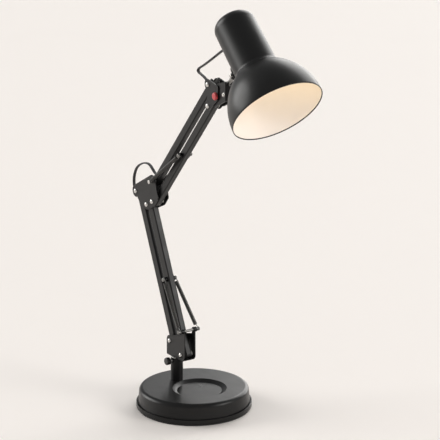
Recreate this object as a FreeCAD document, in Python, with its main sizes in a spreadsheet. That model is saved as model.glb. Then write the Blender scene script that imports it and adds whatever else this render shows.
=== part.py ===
# Desk lamp with a heavy round base, two sprung parallelogram arms and a bell shade.
# Frame: millimetres, +Z up, origin on the swivel post's axis at the level of the table.
# +X is the way the head reaches, the arms lie in the plane Y = 0, and their hinges run along Y.
import FreeCAD, Part
import math
import os
import re
import Sketcher

document = FreeCAD.newDocument("DeskLamp")
vector = FreeCAD.Vector

# Driving dimensions: millimetres and degrees
SIZES = {
    # Clearances
    "pin_clearance": 0.05,
    "face_clearance": 0.1,
    "running_gap": 0.3,
    # Base: pad, tray, weight and pressed cover with its dish
    "base_radius": 87.5,
    "post_offset": 38.5,
    "base_turn": 9.5,
    "pad_height": 1.5,
    "pad_inset": 1.5,
    "tray_height": 7.5,
    "tray_wall": 1.5,
    "tray_floor": 1.2,
    "tray_round": 1,
    "cover_top": 32,
    "cover_inset": 4.9,
    "cover_flare": 2.8,
    "cover_round": 6,
    "cover_wall": 1.2,
    "dish_offset": 12.5,
    "dish_radius": 41,
    "dish_slope": 6.8,
    "dish_depth": 4,
    "dish_round": 2,
    "weight_inset": 9.5,
    "weight_round": 2,
    "weight_gap": 0.3,
    "base_bolt_radius": 5,
    "base_bolt_head_radius": 9,
    "base_bolt_head": 4,
    "base_bolt_recess": 2,
    "base_bolt_reach": 12,
    "base_bolt_round": 0.75,
    "boss_radius": 9,
    "tray_screw_inset": 27.5,
    "tray_screw_radius": 2,
    "tray_screw_head_radius": 3.6,
    "tray_screw_head": 1.1,
    "tray_screw_length": 11,
    "tray_screws": 3,
    # Swivel post
    "post_radius": 9.5,
    "post_wall": 1.5,
    "post_height": 37,
    "plug_height": 14,
    "bush_depth": 19,
    "bush_flange": 1.2,
    "swivel_radius": 6,
    "swivel_neck_radius": 4.5,
    "swivel_head_radius": 7.4,
    "swivel_head": 2.6,
    "swivel_head_round": 1.5,
    "lock_groove_depth": 1,
    "lock_groove_width": 6,
    "lock_height": 64.3,
    "lock_radius": 2.5,
    "lock_knob_radius": 5.8,
    "lock_knob_start": 13,
    "lock_knob_length": 7,
    "lock_knob_round": 1.5,
    "lock_flutes": 10,
    "lock_flute_radius": 1.1,
    # Sheet plates and the fasteners through them
    "plate_reach": 10,
    "plate_wall": 1.5,
    "bolt_radius": 2,
    "bolt_head_radius": 3.75,
    "bolt_head": 2.4,
    "bolt_head_round": 2.2,
    "nut_across": 7,
    "nut_height": 3.2,
    "bolt_tip": 0.8,
    "sleeve_radius": 4,
    # Foot bracket
    "rear_foot_x": -4,
    "rear_foot_z": 95,
    "link_x": 31,
    "link_drop": 14.5,
    "foot_bottom": 70.5,
    "rear_lug_radius": 8.5,
    "front_lug_radius": 10,
    "foot_corner": 2,
    "foot_bend": 2.5,
    "anchor_x": 33,
    "anchor_z": 119.5,
    "anchor_tab_radius": 4,
    "tab_notch_z": 114,
    "tab_notch_radius": 2,
    # Spring anchor rod
    "anchor_reach": 18.9,
    "anchor_seat": 16,
    "anchor_collar_radius": 3.8,
    "anchor_collar": 3.2,
    "rod_end_radius": 3,
    "rod_end": 1.5,
    "seat_radius": 1.5,
    "seat_half_width": 0.7,
    # Channel bars
    "bar_width": 10,
    "bar_wall": 1.2,
    "bar_slot": 4,
    "bar_lip_round": 2.5,
    "bar_web_round": 1.6,
    "lower_lean": 23.7,
    "lower_span": 234,
    "lower_depth": 15,
    "lower_end": 0.5,
    "upper_lean": 41.2,
    "upper_span": 232,
    "upper_depth": 12.5,
    "upper_end": 2.5,
    "lead_notch_width": 6.4,
    "lead_notch": 34,
    "lead_notch_low": 17,
    # Cross bolts that the springs pull on
    "lower_cross": 116.5,
    "upper_cross": 114.6,
    "cross_reach": 12.3,
    "cross_seat": 9.6,
    "cross_sleeve": 3,
    # Elbow plates
    "elbow_x": 46.8,
    "elbow_z": 24.4,
    "upper_link": 31,
    "elbow_rear_radius": 9.3,
    "elbow_front_radius": 8,
    "elbow_upper_radius": 10,
    "elbow_lower_radius": 8.5,
    "elbow_corner_x": 12,
    "elbow_corner_z": 7.3,
    "elbow_corner_radius": 4,
    "elbow_waist_radius": 12,
    "elbow_waist": 2,
    "upper_anchor_reach": 16.1,
    "upper_anchor_seat": 13.7,
    # Head plates
    "tilt_x": 20.2,
    "tilt_drop": 13.3,
    "head_upper_radius": 8,
    "head_lower_radius": 6.5,
    "head_front_radius": 5,
    "head_front_x": 1,
    "head_front_drop": 2,
    "head_corner_x": 3,
    "head_corner_rise": 12.9,
    "head_corner_radius": 3,
    "head_waist_radius": 10,
    "head_waist": 1,
    "tilt_cap_radius": 5.6,
    "tilt_cap_height": 3.6,
    "tilt_cap_round": 2.4,
    # Yoke and stem that carry the shade
    "yoke_reach": 8.2,
    "yoke_wall": 1.5,
    "yoke_front": 21.7,
    "yoke_top": 23.4,
    "yoke_bottom": 5,
    "yoke_lug_radius": 8.5,
    "yoke_corner": 2.5,
    "yoke_rear_x": 3.2,
    "yoke_rear_rise": 13.5,
    "yoke_rear_radius": 3.5,
    "yoke_heel_x": 5.5,
    "yoke_heel_drop": 14.5,
    "yoke_heel_radius": 3,
    "stem_block_half": 5,
    "stem_block": 12,
    "stem_block_top": 2,
    "stem_radius": 3,
    "stem_shoulder_radius": 4.4,
    "stem_shoulder": 1.5,
    "stem_start_x": 15.8,
    "stem_start_rise": 17.45,
    "stem_length": 74,
    "stem_nut": 3,
    "stem_nut_across": 10,
    "stem_flange_radius": 4.8,
    "stem_flange": 2,
    "collar_from_start": 20,
    "collar_length": 8,
    "collar_radius": 5.6,
    "collar_screw_radius": 1.5,
    "collar_screw_head_radius": 2.5,
    "collar_screw_head": 2,
    "saddle_radius": 11,
    "saddle_depth": 9,
    "saddle_cavity_radius": 5.2,
    "saddle_cavity": 3.2,
    "rivet_radius": 1.25,
    "rivet_head_radius": 2.4,
    "rivet_head": 1,
    "rivet_y": 8,
    # Shade
    "shade_lean": 44.5,
    "shade_wall": 1.2,
    "mouth_radius": 67.2,
    "bell_radius": 86,
    "throat_fillet": 8,
    "throat_radius": 31,
    "neck_radius": 30,
    "shoulder_radius": 15,
    "crown_radius": 60,
    "shade_length": 162.3,
    "stem_back": 64.1,
    # Switch in the crown
    "button_radius": 4.5,
    "button_rise": 2.2,
    "button_travel": 1.5,
    "bezel_radius": 7.5,
    "bezel_rise": 1,
    "bezel_wall": 1,
    "switch_radius": 8,
    "switch_height": 5.5,
    "switch_round": 0.6,
    # Lampholder and bulb
    "holder_inset": 11.5,
    "holder_length": 44.5,
    "holder_cap_length": 25.9,
    "holder_radius": 19,
    "holder_cap_radius": 17,
    "holder_bore": 13.4,
    "holder_bore_depth": 30,
    "holder_round": 1.2,
    "holder_plate_wall": 1.2,
    "holder_lip": 4,
    "ring_nut_radius": 20,
    "ring_nut_height": 4,
    "ring_nut_round": 0.6,
    "bulb_base_radius": 13,
    "bulb_base_length": 25,
    "bulb_base_round": 4,
    "bulb_reach": 42.5,
    "bulb_radius": 22.5,
    "bulb_pole": 0.1,
    "bulb_belly_reach": 14,
    "bulb_belly_round": 14,
    "bulb_neck_radius": 12.6,
    "bulb_neck_round": 4,
    # Lead, a flat twin cord, with its glands
    "lead_width": 5,
    "lead_height": 2.4,
    "lead_lower_seat": 4.2,
    "lead_upper_seat": 3.55,
    "inlet_height": 22,
    "inlet_length": 8,
    "inlet_nozzle": 4,
    "gland_radius": 5.5,
    "gland_bore": 3,
    "gland_lip": 1.5,
    "lead_loop": 46.3,
    "lead_entry": 3.2,
    "lead_entry_aside": 10.5,
    "lead_entry_run": 10,
    "lead_exit_run": 27,
    "lead_fold": 40.2,
    "lead_bend_share": 0.45,
    # Springs
    "wire_radius": 0.45,
    "coil_radius": 2.6,
    "coil_turns": 12,
    "coil_top_hook": 5.5,
    "lower_hook": 7,
    "upper_hook": 6,
}

sizes = document.addObject("Spreadsheet::Sheet", "Sizes")
for row, (name, number) in enumerate(SIZES.items(), start=1):
    sizes.set(f"A{row}", name)
    sizes.set(f"B{row}", str(number))
    sizes.setAlias(f"B{row}", name)
document.recompute()


# Expressions in the names of the sizes
def cells(text):
    """The expression with each size's name made a reference to its cell."""
    return re.sub(r"[a-z_]+", lambda word: "Sizes." + word[0] if word[0] in SIZES else word[0], text)


def value(text):
    """The number that an expression in the sizes comes to."""
    return float(FreeCAD.Units.Quantity(sizes.evalExpression(cells(text))).Value)


def bind(owner, path, text):
    owner.setExpression(path, cells(text))


# Sketch helpers
def new_body(label):
    body = document.addObject("PartDesign::Body", label)
    body.Label = label
    return body


def new_sketch(body, name, role="XZ_Plane", offset=None):
    """A sketch on one of the body's own origin planes, raised by an offset along its normal."""
    plane = next(face for face in body.Origin.OriginFeatures if face.Role == role)
    sketch = body.newObject("Sketcher::SketchObject", body.Name + "_" + name)
    sketch.AttachmentSupport = [(plane, "")]
    sketch.MapMode = "FlatFace"
    if offset:
        bind(sketch, "AttachmentOffset.Base.z", offset)
    return sketch


def fix_point(sketch, piece, end, spot):
    """Ties one point of the sketch to its coordinates."""
    for kind, text in zip(("DistanceX", "DistanceY"), spot):
        mark = sketch.addConstraint(Sketcher.Constraint(kind, -1, 1, piece, end, value(text)))
        bind(sketch, f"Constraints[{mark}]", text)


def fix_radius(sketch, piece, text):
    mark = sketch.addConstraint(Sketcher.Constraint("Radius", piece, value(text)))
    bind(sketch, f"Constraints[{mark}]", text)


def add_line(sketch, first, last):
    return sketch.addGeometry(Part.LineSegment(vector(*first, 0), vector(*last, 0)))


def add_arc(sketch, centre, radius, entry, leave, left):
    """An arc from entry to leave, turning left or right, with the numbers of its two ends."""
    circle = Part.Circle(vector(*centre, 0), vector(0, 0, 1), radius)
    first, last = (entry, leave) if left else (leave, entry)
    start = math.atan2(first[1] - centre[1], first[0] - centre[0])
    stop = math.atan2(last[1] - centre[1], last[0] - centre[0])
    if stop <= start:
        stop += 2 * math.pi
    piece = sketch.addGeometry(Part.ArcOfCircle(circle, start, stop))
    return (piece, 1, 2) if left else (piece, 2, 1)


def join(sketch, kind, first, first_end, last, last_end):
    sketch.addConstraint(Sketcher.Constraint(kind, first, first_end, last, last_end))


def round_corner(before, corner, after, radius):
    """Where a rounded corner leaves its two sides, its centre and whether it turns left."""
    back = (vector(*before, 0) - vector(*corner, 0)).normalize()
    ahead = (vector(*after, 0) - vector(*corner, 0)).normalize()
    reach = radius / math.tan(back.getAngle(ahead) / 2)
    middle = (back + ahead).normalize()
    centre = vector(*corner, 0) + middle * math.hypot(reach, radius)
    entry = vector(*corner, 0) + back * reach
    leave = vector(*corner, 0) + ahead * reach
    return tuple(entry)[:2], tuple(leave)[:2], tuple(centre)[:2], back.cross(ahead).z < 0


def outline(sketch, corners):
    """A closed outline through corners (x, y) or (x, y, radius), with every corner tied."""
    spots = [(value(corner[0]), value(corner[1])) for corner in corners]
    count = len(corners)
    turns = []
    for number, corner in enumerate(corners):
        if len(corner) == 3:
            turns.append(round_corner(spots[number - 1], spots[number],
                                      spots[(number + 1) % count], value(corner[2])))
        else:
            turns.append((spots[number], spots[number], None, True))
    lines = [add_line(sketch, turns[number][1], turns[(number + 1) % count][0])
             for number in range(count)]
    for number, corner in enumerate(corners):
        before, after = lines[number - 1], lines[number]
        entry, leave, centre, left = turns[number]
        if centre is None:
            join(sketch, "Coincident", before, 2, after, 1)
            fix_point(sketch, after, 1, corner[:2])
            continue
        arc, arc_in, arc_out = add_arc(sketch, centre, value(corner[2]), entry, leave, left)
        join(sketch, "Tangent", before, 2, arc, arc_in)
        join(sketch, "Tangent", arc, arc_out, after, 1)
        fix_radius(sketch, arc, corner[2])
        apex = sketch.addGeometry(Part.Point(vector(*spots[number], 0)), True)
        sketch.addConstraint(Sketcher.Constraint("PointOnObject", apex, 1, before))
        sketch.addConstraint(Sketcher.Constraint("PointOnObject", apex, 1, after))
        fix_point(sketch, apex, 1, corner[:2])


def belt(sketch, wheels):
    """A closed outline like a belt round wheels (x, y, radius, side), left turns having side 1.

    A wheel with side -1 lies outside the belt and makes a hollow.
    """
    spots = [vector(value(wheel[0]), value(wheel[1]), 0) for wheel in wheels]
    radii = [value(wheel[2]) * wheel[3] for wheel in wheels]
    count = len(wheels)
    ends = []
    for number in range(count):
        after = (number + 1) % count
        between = spots[after] - spots[number]
        lean = math.asin((radii[after] - radii[number]) / between.Length)
        heading = math.atan2(between.y, between.x) - lean
        normal = vector(-math.sin(heading), math.cos(heading), 0)
        ends.append((spots[number] - normal * radii[number], spots[after] - normal * radii[after]))
    lines = [add_line(sketch, tuple(first)[:2], tuple(last)[:2]) for first, last in ends]
    for number, wheel in enumerate(wheels):
        before, after = lines[number - 1], lines[number]
        entry, leave = tuple(ends[number - 1][1])[:2], tuple(ends[number][0])[:2]
        arc, arc_in, arc_out = add_arc(sketch, tuple(spots[number])[:2], abs(radii[number]),
                                       entry, leave, wheel[3] > 0)
        join(sketch, "Tangent", before, 2, arc, arc_in)
        join(sketch, "Tangent", arc, arc_out, after, 1)
        fix_radius(sketch, arc, wheel[2])
        fix_point(sketch, arc, 3, wheel[:2])


def circle(sketch, x, y, radius):
    piece = sketch.addGeometry(Part.Circle(vector(value(x), value(y), 0), vector(0, 0, 1),
                                           value(radius)))
    fix_radius(sketch, piece, radius)
    fix_point(sketch, piece, 3, (x, y))


def rectangle(sketch, left, bottom, right, top):
    outline(sketch, [(left, bottom), (right, bottom), (right, top), (left, top)])


# Feature helpers
def pad(body, sketch, length, both_sides=False):
    feature = body.newObject("PartDesign::Pad", sketch.Name + "_pad")
    feature.Profile = sketch
    bind(feature, "Length", length)
    feature.SideType = "Symmetric" if both_sides else "One side"
    return feature


def pocket(body, sketch, length=None, reverse=False):
    """A cut through everything both ways, or to a length on one side of its sketch."""
    feature = body.newObject("PartDesign::Pocket", sketch.Name + "_pocket")
    feature.Profile = sketch
    if length is None:
        feature.Type = "ThroughAll"
        feature.SideType = "Symmetric"
    else:
        bind(feature, "Length", length)
        feature.SideType = "One side"
        feature.Reversed = reverse
    return feature


def turn(body, sketch, kind="Revolution"):
    """The sketch turned once round its upright axis, as material or as a groove."""
    feature = body.newObject("PartDesign::" + kind, sketch.Name + "_" + kind.lower())
    feature.Profile = sketch
    feature.ReferenceAxis = (sketch, ["V_Axis"])
    feature.Angle = 360
    return feature


def turned(label, corners):
    """A body turned from one profile of radii and heights."""
    body = new_body(label)
    profile = new_sketch(body, "profile")
    outline(profile, corners)
    turn(body, profile)
    return body


def place(piece, x="0", z="0", y="0", lean=None, across=False):
    """Puts a piece at its place: leaning about Y from upright, or with its own Z along row Y."""
    for path, text in (("x", x), ("y", y), ("z", z)):
        bind(piece, "Placement.Base." + path, text)
    if across:
        piece.Placement.Rotation = FreeCAD.Rotation(vector(1, 0, 0), -90)
    if lean:
        piece.Placement.Rotation = FreeCAD.Rotation(vector(0, 1, 0), value(lean))
        bind(piece, "Placement.Rotation.Angle", lean)
    return piece


def group(label, members):
    """One sub-part made of several alike pieces."""
    made = document.addObject("Part::Compound", label)
    made.Label = label
    made.Links = members
    return made


# Places of the pivots, as expressions
REAR_FOOT = ("rear_foot_x", "rear_foot_z")
FRONT_FOOT = ("(rear_foot_x + link_x)", "(rear_foot_z - link_drop)")
REAR_ELBOW = ("(rear_foot_x - lower_span * sin(lower_lean))",
              "(rear_foot_z + lower_span * cos(lower_lean))")
FRONT_ELBOW = (f"({REAR_ELBOW[0]} + link_x)", f"({REAR_ELBOW[1]} - link_drop)")
TOP_ELBOW = (f"({REAR_ELBOW[0]} + elbow_x)", f"({REAR_ELBOW[1]} + elbow_z)")
LOW_ELBOW = (TOP_ELBOW[0], f"({TOP_ELBOW[1]} - upper_link)")
TOP_HEAD = (f"({TOP_ELBOW[0]} + upper_span * sin(upper_lean))",
            f"({TOP_ELBOW[1]} + upper_span * cos(upper_lean))")
LOW_HEAD = (TOP_HEAD[0], f"({TOP_HEAD[1]} - upper_link)")
TILT = (f"({TOP_HEAD[0]} + tilt_x)", f"({TOP_HEAD[1]} - tilt_drop)")
ANCHOR = ("anchor_x", "anchor_z")
LOWER_CROSS = (f"({FRONT_FOOT[0]} - lower_cross * sin(lower_lean))",
               f"({FRONT_FOOT[1]} + lower_cross * cos(lower_lean))")
UPPER_CROSS = (f"({LOW_ELBOW[0]} + upper_cross * sin(upper_lean))",
               f"({LOW_ELBOW[1]} + upper_cross * cos(upper_lean))")
STEM = (f"({TILT[0]} + stem_start_x)", f"({TILT[1]} + stem_start_rise)")
BASE = ("post_offset * cos(base_turn)", "post_offset * sin(base_turn)")
HOLE = "(bolt_radius + pin_clearance)"


def spot(place_texts):
    return value(place_texts[0]), value(place_texts[1])


# Base
COVER_FOOT = "(pad_height + tray_floor)"
COVER_RADIUS = "(base_radius - cover_inset)"
WEIGHT_RADIUS = "(base_radius - weight_inset)"
TRAY_SCREW_CIRCLE = "(base_radius - tray_screw_inset)"
WEIGHT_TOP = "(cover_top - dish_depth - cover_wall - weight_gap)"
BOLT_SEAT = f"({COVER_FOOT} + base_bolt_head + running_gap)"


def place_base(piece):
    """The base's pieces turn with it and lie in front of the post."""
    piece.Placement.Rotation = FreeCAD.Rotation(vector(0, 0, 1), value("base_turn"))
    bind(piece, "Placement.Rotation.Angle", "base_turn")
    return place(piece, x=BASE[0], y=BASE[1])


def screw_holes(body, radius):
    """The ring of screws that hold the tray to the weight."""
    sketch = new_sketch(body, "screws", "XY_Plane")
    circle(sketch, TRAY_SCREW_CIRCLE, "0", radius)
    first = pocket(body, sketch)
    ring = body.newObject("PartDesign::PolarPattern", body.Name + "_screw_ring")
    ring.Originals = [first]
    ring.Axis = (sketch, ["N_Axis"])
    ring.Angle = 360
    bind(ring, "Occurrences", "tray_screws")
    body.Tip = ring


def base_pad():
    body = turned("base_pad", [("0", "0"), ("base_radius - pad_inset", "0"),
                               ("base_radius - pad_inset", "pad_height"), ("0", "pad_height")])
    screw_holes(body, "tray_screw_head_radius + face_clearance")
    return place_base(body)


def base_tray():
    body = turned("base_tray", [("0", "pad_height"), ("base_radius", "pad_height", "tray_round"),
                                ("base_radius", "pad_height + tray_height"),
                                ("base_radius - tray_wall", "pad_height + tray_height"),
                                ("base_radius - tray_wall", COVER_FOOT), ("0", COVER_FOOT)])
    sink = new_sketch(body, "bolt_hole", "XY_Plane")
    circle(sink, "-post_offset", "0", "base_bolt_head_radius + base_bolt_recess")
    pocket(body, sink)
    screw_holes(body, "tray_screw_radius + pin_clearance")
    return place_base(body)


def tray_screws():
    """Screws with flat heads under the tray, their shanks in the weight."""
    screws = []
    for number in range(SIZES["tray_screws"]):
        body = turned(f"tray_screw_{number + 1}", [
            ("0", "pad_height - tray_screw_head"),
            ("tray_screw_head_radius", "pad_height - tray_screw_head"),
            ("tray_screw_head_radius", "pad_height"), ("tray_screw_radius", "pad_height"),
            ("tray_screw_radius", "pad_height + tray_screw_length"),
            ("0", "pad_height + tray_screw_length")])
        angle = f"(base_turn + 360 * {number} / tray_screws)"
        place(body, x=f"{BASE[0]} + {TRAY_SCREW_CIRCLE} * cos({angle})",
              y=f"{BASE[1]} + {TRAY_SCREW_CIRCLE} * sin({angle})")
        screws.append(body)
    return group("tray_screws", screws)


def base_weight():
    """A cast disc, with a boss under the post and a recess for the bolt's head."""
    body = turned("base_weight", [("0", COVER_FOOT), (WEIGHT_RADIUS, COVER_FOOT, "weight_round"),
                                  (WEIGHT_RADIUS, WEIGHT_TOP, "weight_round"), ("0", WEIGHT_TOP)])
    boss = new_sketch(body, "boss", "XY_Plane", WEIGHT_TOP)
    circle(boss, "-post_offset", "0", "boss_radius")
    pad(body, boss, f"cover_top - cover_wall - {WEIGHT_TOP}")
    recess = new_sketch(body, "recess", "XY_Plane", COVER_FOOT)
    circle(recess, "-post_offset", "0", "base_bolt_head_radius + base_bolt_recess")
    pocket(body, recess, f"{BOLT_SEAT} - {COVER_FOOT}", reverse=True)
    bore = new_sketch(body, "bore", "XY_Plane")
    circle(bore, "-post_offset", "0", "base_bolt_radius + pin_clearance")
    pocket(body, bore)
    screw_holes(body, "tray_screw_radius + pin_clearance")
    return place_base(body)


def base_cover():
    """A pressed cover that stands in the tray, with a round dish let into its top."""
    inner = "(cover_top - cover_wall)"
    body = turned("base_cover", [
        ("0", "cover_top"), (COVER_RADIUS, "cover_top", "cover_round"),
        (f"{COVER_RADIUS} + cover_flare", COVER_FOOT),
        (f"{COVER_RADIUS} + cover_flare - cover_wall", COVER_FOOT),
        (f"{COVER_RADIUS} - cover_wall", inner, "cover_round - cover_wall"), ("0", inner)])
    shift = "cover_wall * tan(atan(dish_depth / dish_slope) / 2)"
    under = "(cover_top - dish_depth - cover_wall)"
    sheet = new_sketch(body, "dish_sheet")
    bind(sheet, "AttachmentOffset.Base.x", "dish_offset")
    outline(sheet, [("0", "cover_top - cover_wall / 2"), ("0", under),
                    (f"dish_radius - dish_slope + {shift}", under, "dish_round + cover_wall"),
                    (f"dish_radius + {shift}", inner),
                    (f"dish_radius + {shift}", "cover_top - cover_wall / 2")])
    turn(body, sheet)
    dish = new_sketch(body, "dish")
    bind(dish, "AttachmentOffset.Base.x", "dish_offset")
    floor = "cover_top - dish_depth"
    outline(dish, [("0", "cover_top"), ("0", floor),
                   ("dish_radius - dish_slope", floor, "dish_round"), ("dish_radius", "cover_top")])
    turn(body, dish, "Groove")
    bore = new_sketch(body, "bore", "XY_Plane")
    circle(bore, "-post_offset", "0", "base_bolt_radius + pin_clearance")
    pocket(body, bore)
    return place_base(body)


def base_bolt():
    """The bolt that draws the post, cover and weight together from below."""
    top = "cover_top + base_bolt_reach"
    return turned("base_bolt", [
        ("0", f"{BOLT_SEAT} - base_bolt_head"),
        ("base_bolt_head_radius", f"{BOLT_SEAT} - base_bolt_head", "base_bolt_round"),
        ("base_bolt_head_radius", BOLT_SEAT), ("base_bolt_radius", BOLT_SEAT),
        ("base_bolt_radius", top, "base_bolt_round"), ("0", top)])


# Swivel post
POST_TOP = "(cover_top + post_height)"
BUSH_TOP = f"({POST_TOP} + bush_flange)"
TUBE_BORE = "(post_radius - post_wall)"


def lock_hole(body, length):
    """The lock screw's hole, on the near side only."""
    sketch = new_sketch(body, "lock_hole")
    circle(sketch, "0", "lock_height", "lock_radius + pin_clearance")
    pocket(body, sketch, length, reverse=True)


def post_plug():
    bore = "base_bolt_radius + pin_clearance"
    rim = f"{TUBE_BORE} - pin_clearance"
    top = "cover_top + plug_height"
    return turned("post_plug", [(bore, "cover_top"), (rim, "cover_top"), (rim, top), (bore, top)])


def post_tube():
    body = turned("post_tube", [(TUBE_BORE, "cover_top"), ("post_radius", "cover_top"),
                                ("post_radius", POST_TOP), (TUBE_BORE, POST_TOP)])
    lock_hole(body, "post_radius + post_wall")
    return body


def post_bush():
    """The flanged bearing in the top of the post."""
    bore = "swivel_radius + pin_clearance"
    rim = f"{TUBE_BORE} - pin_clearance"
    low = f"{POST_TOP} - bush_depth"
    body = turned("post_bush", [
        (bore, low), (rim, low), (rim, POST_TOP), ("post_radius", POST_TOP),
        ("post_radius", BUSH_TOP, "bush_flange / 2"), (bore, BUSH_TOP)])
    lock_hole(body, "post_radius")
    return body


def thumb_screw():
    """The fluted lock screw, its tip in the swivel pin's groove."""
    tip = "-(swivel_radius - lock_groove_depth + running_gap)"
    end = "-(lock_knob_start + lock_knob_length)"
    body = turned("thumb_screw", [
        ("0", tip), ("0", end), ("lock_knob_radius", end, "lock_knob_round"),
        ("lock_knob_radius", "-lock_knob_start", "lock_knob_round"),
        ("lock_radius", "-lock_knob_start"), ("lock_radius", tip)])
    flute = new_sketch(body, "flute", "XY_Plane")
    circle(flute, "lock_knob_radius + lock_flute_radius / 2", "0", "lock_flute_radius")
    cut = pocket(body, flute)
    flutes = body.newObject("PartDesign::PolarPattern", "thumb_screw_flutes")
    flutes.Originals = [cut]
    flutes.Axis = (flute, ["N_Axis"])
    flutes.Angle = 360
    bind(flutes, "Occurrences", "lock_flutes")
    body.Tip = flutes
    return place(body, z="lock_height", across=True)


# Foot bracket and the pieces on it
WEB_TOP = "(foot_bottom + plate_wall)"


def swivel_pin():
    """The pin under the bracket, riveted over its web and grooved for the lock screw."""
    low = f"{POST_TOP} - bush_depth - running_gap"
    waist = "swivel_radius - lock_groove_depth"
    top = f"{WEB_TOP} + swivel_head"
    return turned("swivel_pin", [
        ("0", low), ("swivel_radius", low, "lock_groove_depth"),
        ("swivel_radius", "lock_height - lock_groove_width / 2"),
        (waist, "lock_height - lock_groove_width / 2"),
        (waist, "lock_height + lock_groove_width / 2"),
        ("swivel_radius", "lock_height + lock_groove_width / 2"),
        ("swivel_radius", "foot_bottom"), ("swivel_neck_radius", "foot_bottom"),
        ("swivel_neck_radius", WEB_TOP), ("swivel_head_radius", WEB_TOP),
        ("swivel_head_radius", top, "swivel_head_round"), ("0", top)])


def foot_bracket():
    """A folded bracket: two ears on one web, each rising to the spring anchor's tab."""
    body = new_body("foot_bracket")
    start = "(rear_foot_x - rear_lug_radius - plate_wall)"
    stop = "(anchor_x + anchor_tab_radius + plate_wall)"
    top = "(anchor_z + anchor_tab_radius + plate_wall)"
    inner = "(plate_reach - plate_wall)"
    fold = new_sketch(body, "fold", "YZ_Plane", start)
    outline(fold, [
        ("-plate_reach", "foot_bottom", "foot_bend"), ("plate_reach", "foot_bottom", "foot_bend"),
        ("plate_reach", top), (inner, top), (inner, WEB_TOP, "foot_bend - plate_wall"),
        (f"-{inner}", WEB_TOP, "foot_bend - plate_wall"), (f"-{inner}", top),
        ("-plate_reach", top)])
    pad(body, fold, f"{stop} - {start}")
    ears = new_sketch(body, "ears")
    rectangle(ears, f"{start} - plate_wall", "foot_bottom - plate_wall",
              f"{stop} + plate_wall", f"{top} + plate_wall")
    belt(ears, [
        ("rear_foot_x - rear_lug_radius + foot_corner", "foot_bottom + foot_corner",
         "foot_corner", 1),
        (*FRONT_FOOT, "front_lug_radius", 1),
        (*ANCHOR, "anchor_tab_radius", 1),
        ("anchor_x - anchor_tab_radius - tab_notch_radius", "tab_notch_z", "tab_notch_radius", -1),
        (*REAR_FOOT, "rear_lug_radius", 1)])
    pocket(body, ears)
    holes = new_sketch(body, "holes")
    circle(holes, *REAR_FOOT, HOLE)
    circle(holes, *FRONT_FOOT, HOLE)
    circle(holes, *ANCHOR, HOLE)
    pocket(body, holes)
    seat = new_sketch(body, "pin_hole", "XY_Plane")
    circle(seat, "0", "0", "swivel_neck_radius + pin_clearance")
    pocket(body, seat)
    return body


def bolt(label, pivot):
    """A domed bolt across the lamp, its head on the near plate and its tip past the nut."""
    top = "(plate_reach + bolt_head)"
    tip = "plate_reach + nut_height + bolt_tip"
    body = turned(label, [("0", f"-{top}"), ("bolt_head_radius", f"-{top}", "bolt_head_round"),
                          ("bolt_head_radius", "-plate_reach"), ("bolt_radius", "-plate_reach"),
                          ("bolt_radius", tip, "bolt_tip / 2"), ("0", tip)])
    return place(body, *pivot, across=True)


def nut(label, pivot, seat, across="nut_across", height="nut_height", bore=HOLE):
    """A hexagon nut across the lamp, from a seat outwards."""
    body = new_body(label)
    sketch = new_sketch(body, "hexagon", "XY_Plane", seat)
    reach = f"({across} / 2 / cos(30))"
    outline(sketch, [(f"{reach} * cos({60 * side})", f"{reach} * sin({60 * side})")
                     for side in range(6)])
    circle(sketch, "0", "0", bore)
    pad(body, sketch, height)
    return place(body, *pivot, across=True) if pivot else body


def bolts_and_nuts(label, pivots):
    """A bolt with its nut at each pivot."""
    pieces = []
    for number, pivot in enumerate(pivots, start=1):
        pieces.append(bolt(f"{label}_bolt_{number}", pivot))
        pieces.append(nut(f"{label}_nut_{number}", pivot, "plate_reach"))
    return group(label, pieces)


def sleeve(label, pivot, low, high, radius="sleeve_radius", bore=HOLE):
    body = turned(label, [(bore, low), (radius, low), (radius, high), (bore, high)])
    return place(body, *pivot, across=True)


def side_sleeves(label, pivots):
    """Spacers on both sides of a bar, between it and the plates."""
    low = "(bar_width / 2 + face_clearance)"
    high = "(plate_reach - plate_wall - face_clearance)"
    pieces = []
    for number, pivot in enumerate(pivots, start=1):
        pieces.append(sleeve(f"{label}_far_{number}", pivot, low, high))
        pieces.append(sleeve(f"{label}_near_{number}", pivot, f"-{high}", f"-{low}"))
    return group(label, pieces)


def seated_rod(label, pivot, reach, seat):
    """A rod across the lamp with an end cap and a spring seat at both ends."""
    half = [("bolt_radius", f"({seat} - seat_half_width)"),
            ("seat_radius", f"({seat} - seat_half_width)"),
            ("seat_radius", f"({seat} + seat_half_width)"),
            ("bolt_radius", f"({seat} + seat_half_width)"),
            ("bolt_radius", f"({reach} - rod_end)"), ("rod_end_radius", f"({reach} - rod_end)"),
            ("rod_end_radius", reach, "rod_end / 2")]
    mirrored = [(corner[0], f"-{corner[1]}", *corner[2:]) for corner in reversed(half)]
    body = turned(label, [("0", f"-{reach}"), *mirrored, *half, ("0", reach)])
    return place(body, *pivot, across=True)


def ringed_rod(label, pivot, reach, seat, low, width, radius):
    """A seated rod with one ring on each side of what it passes through."""
    high = f"({low} + {width})"
    return group(label, [seated_rod(label + "_rod", pivot, reach, seat),
                         sleeve(label + "_ring_far", pivot, low, high, radius),
                         sleeve(label + "_ring_near", pivot, f"-{high}", f"-{low}", radius)])


# Arms
LOWER = "-lower_lean"
UPPER = "upper_lean"


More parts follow.
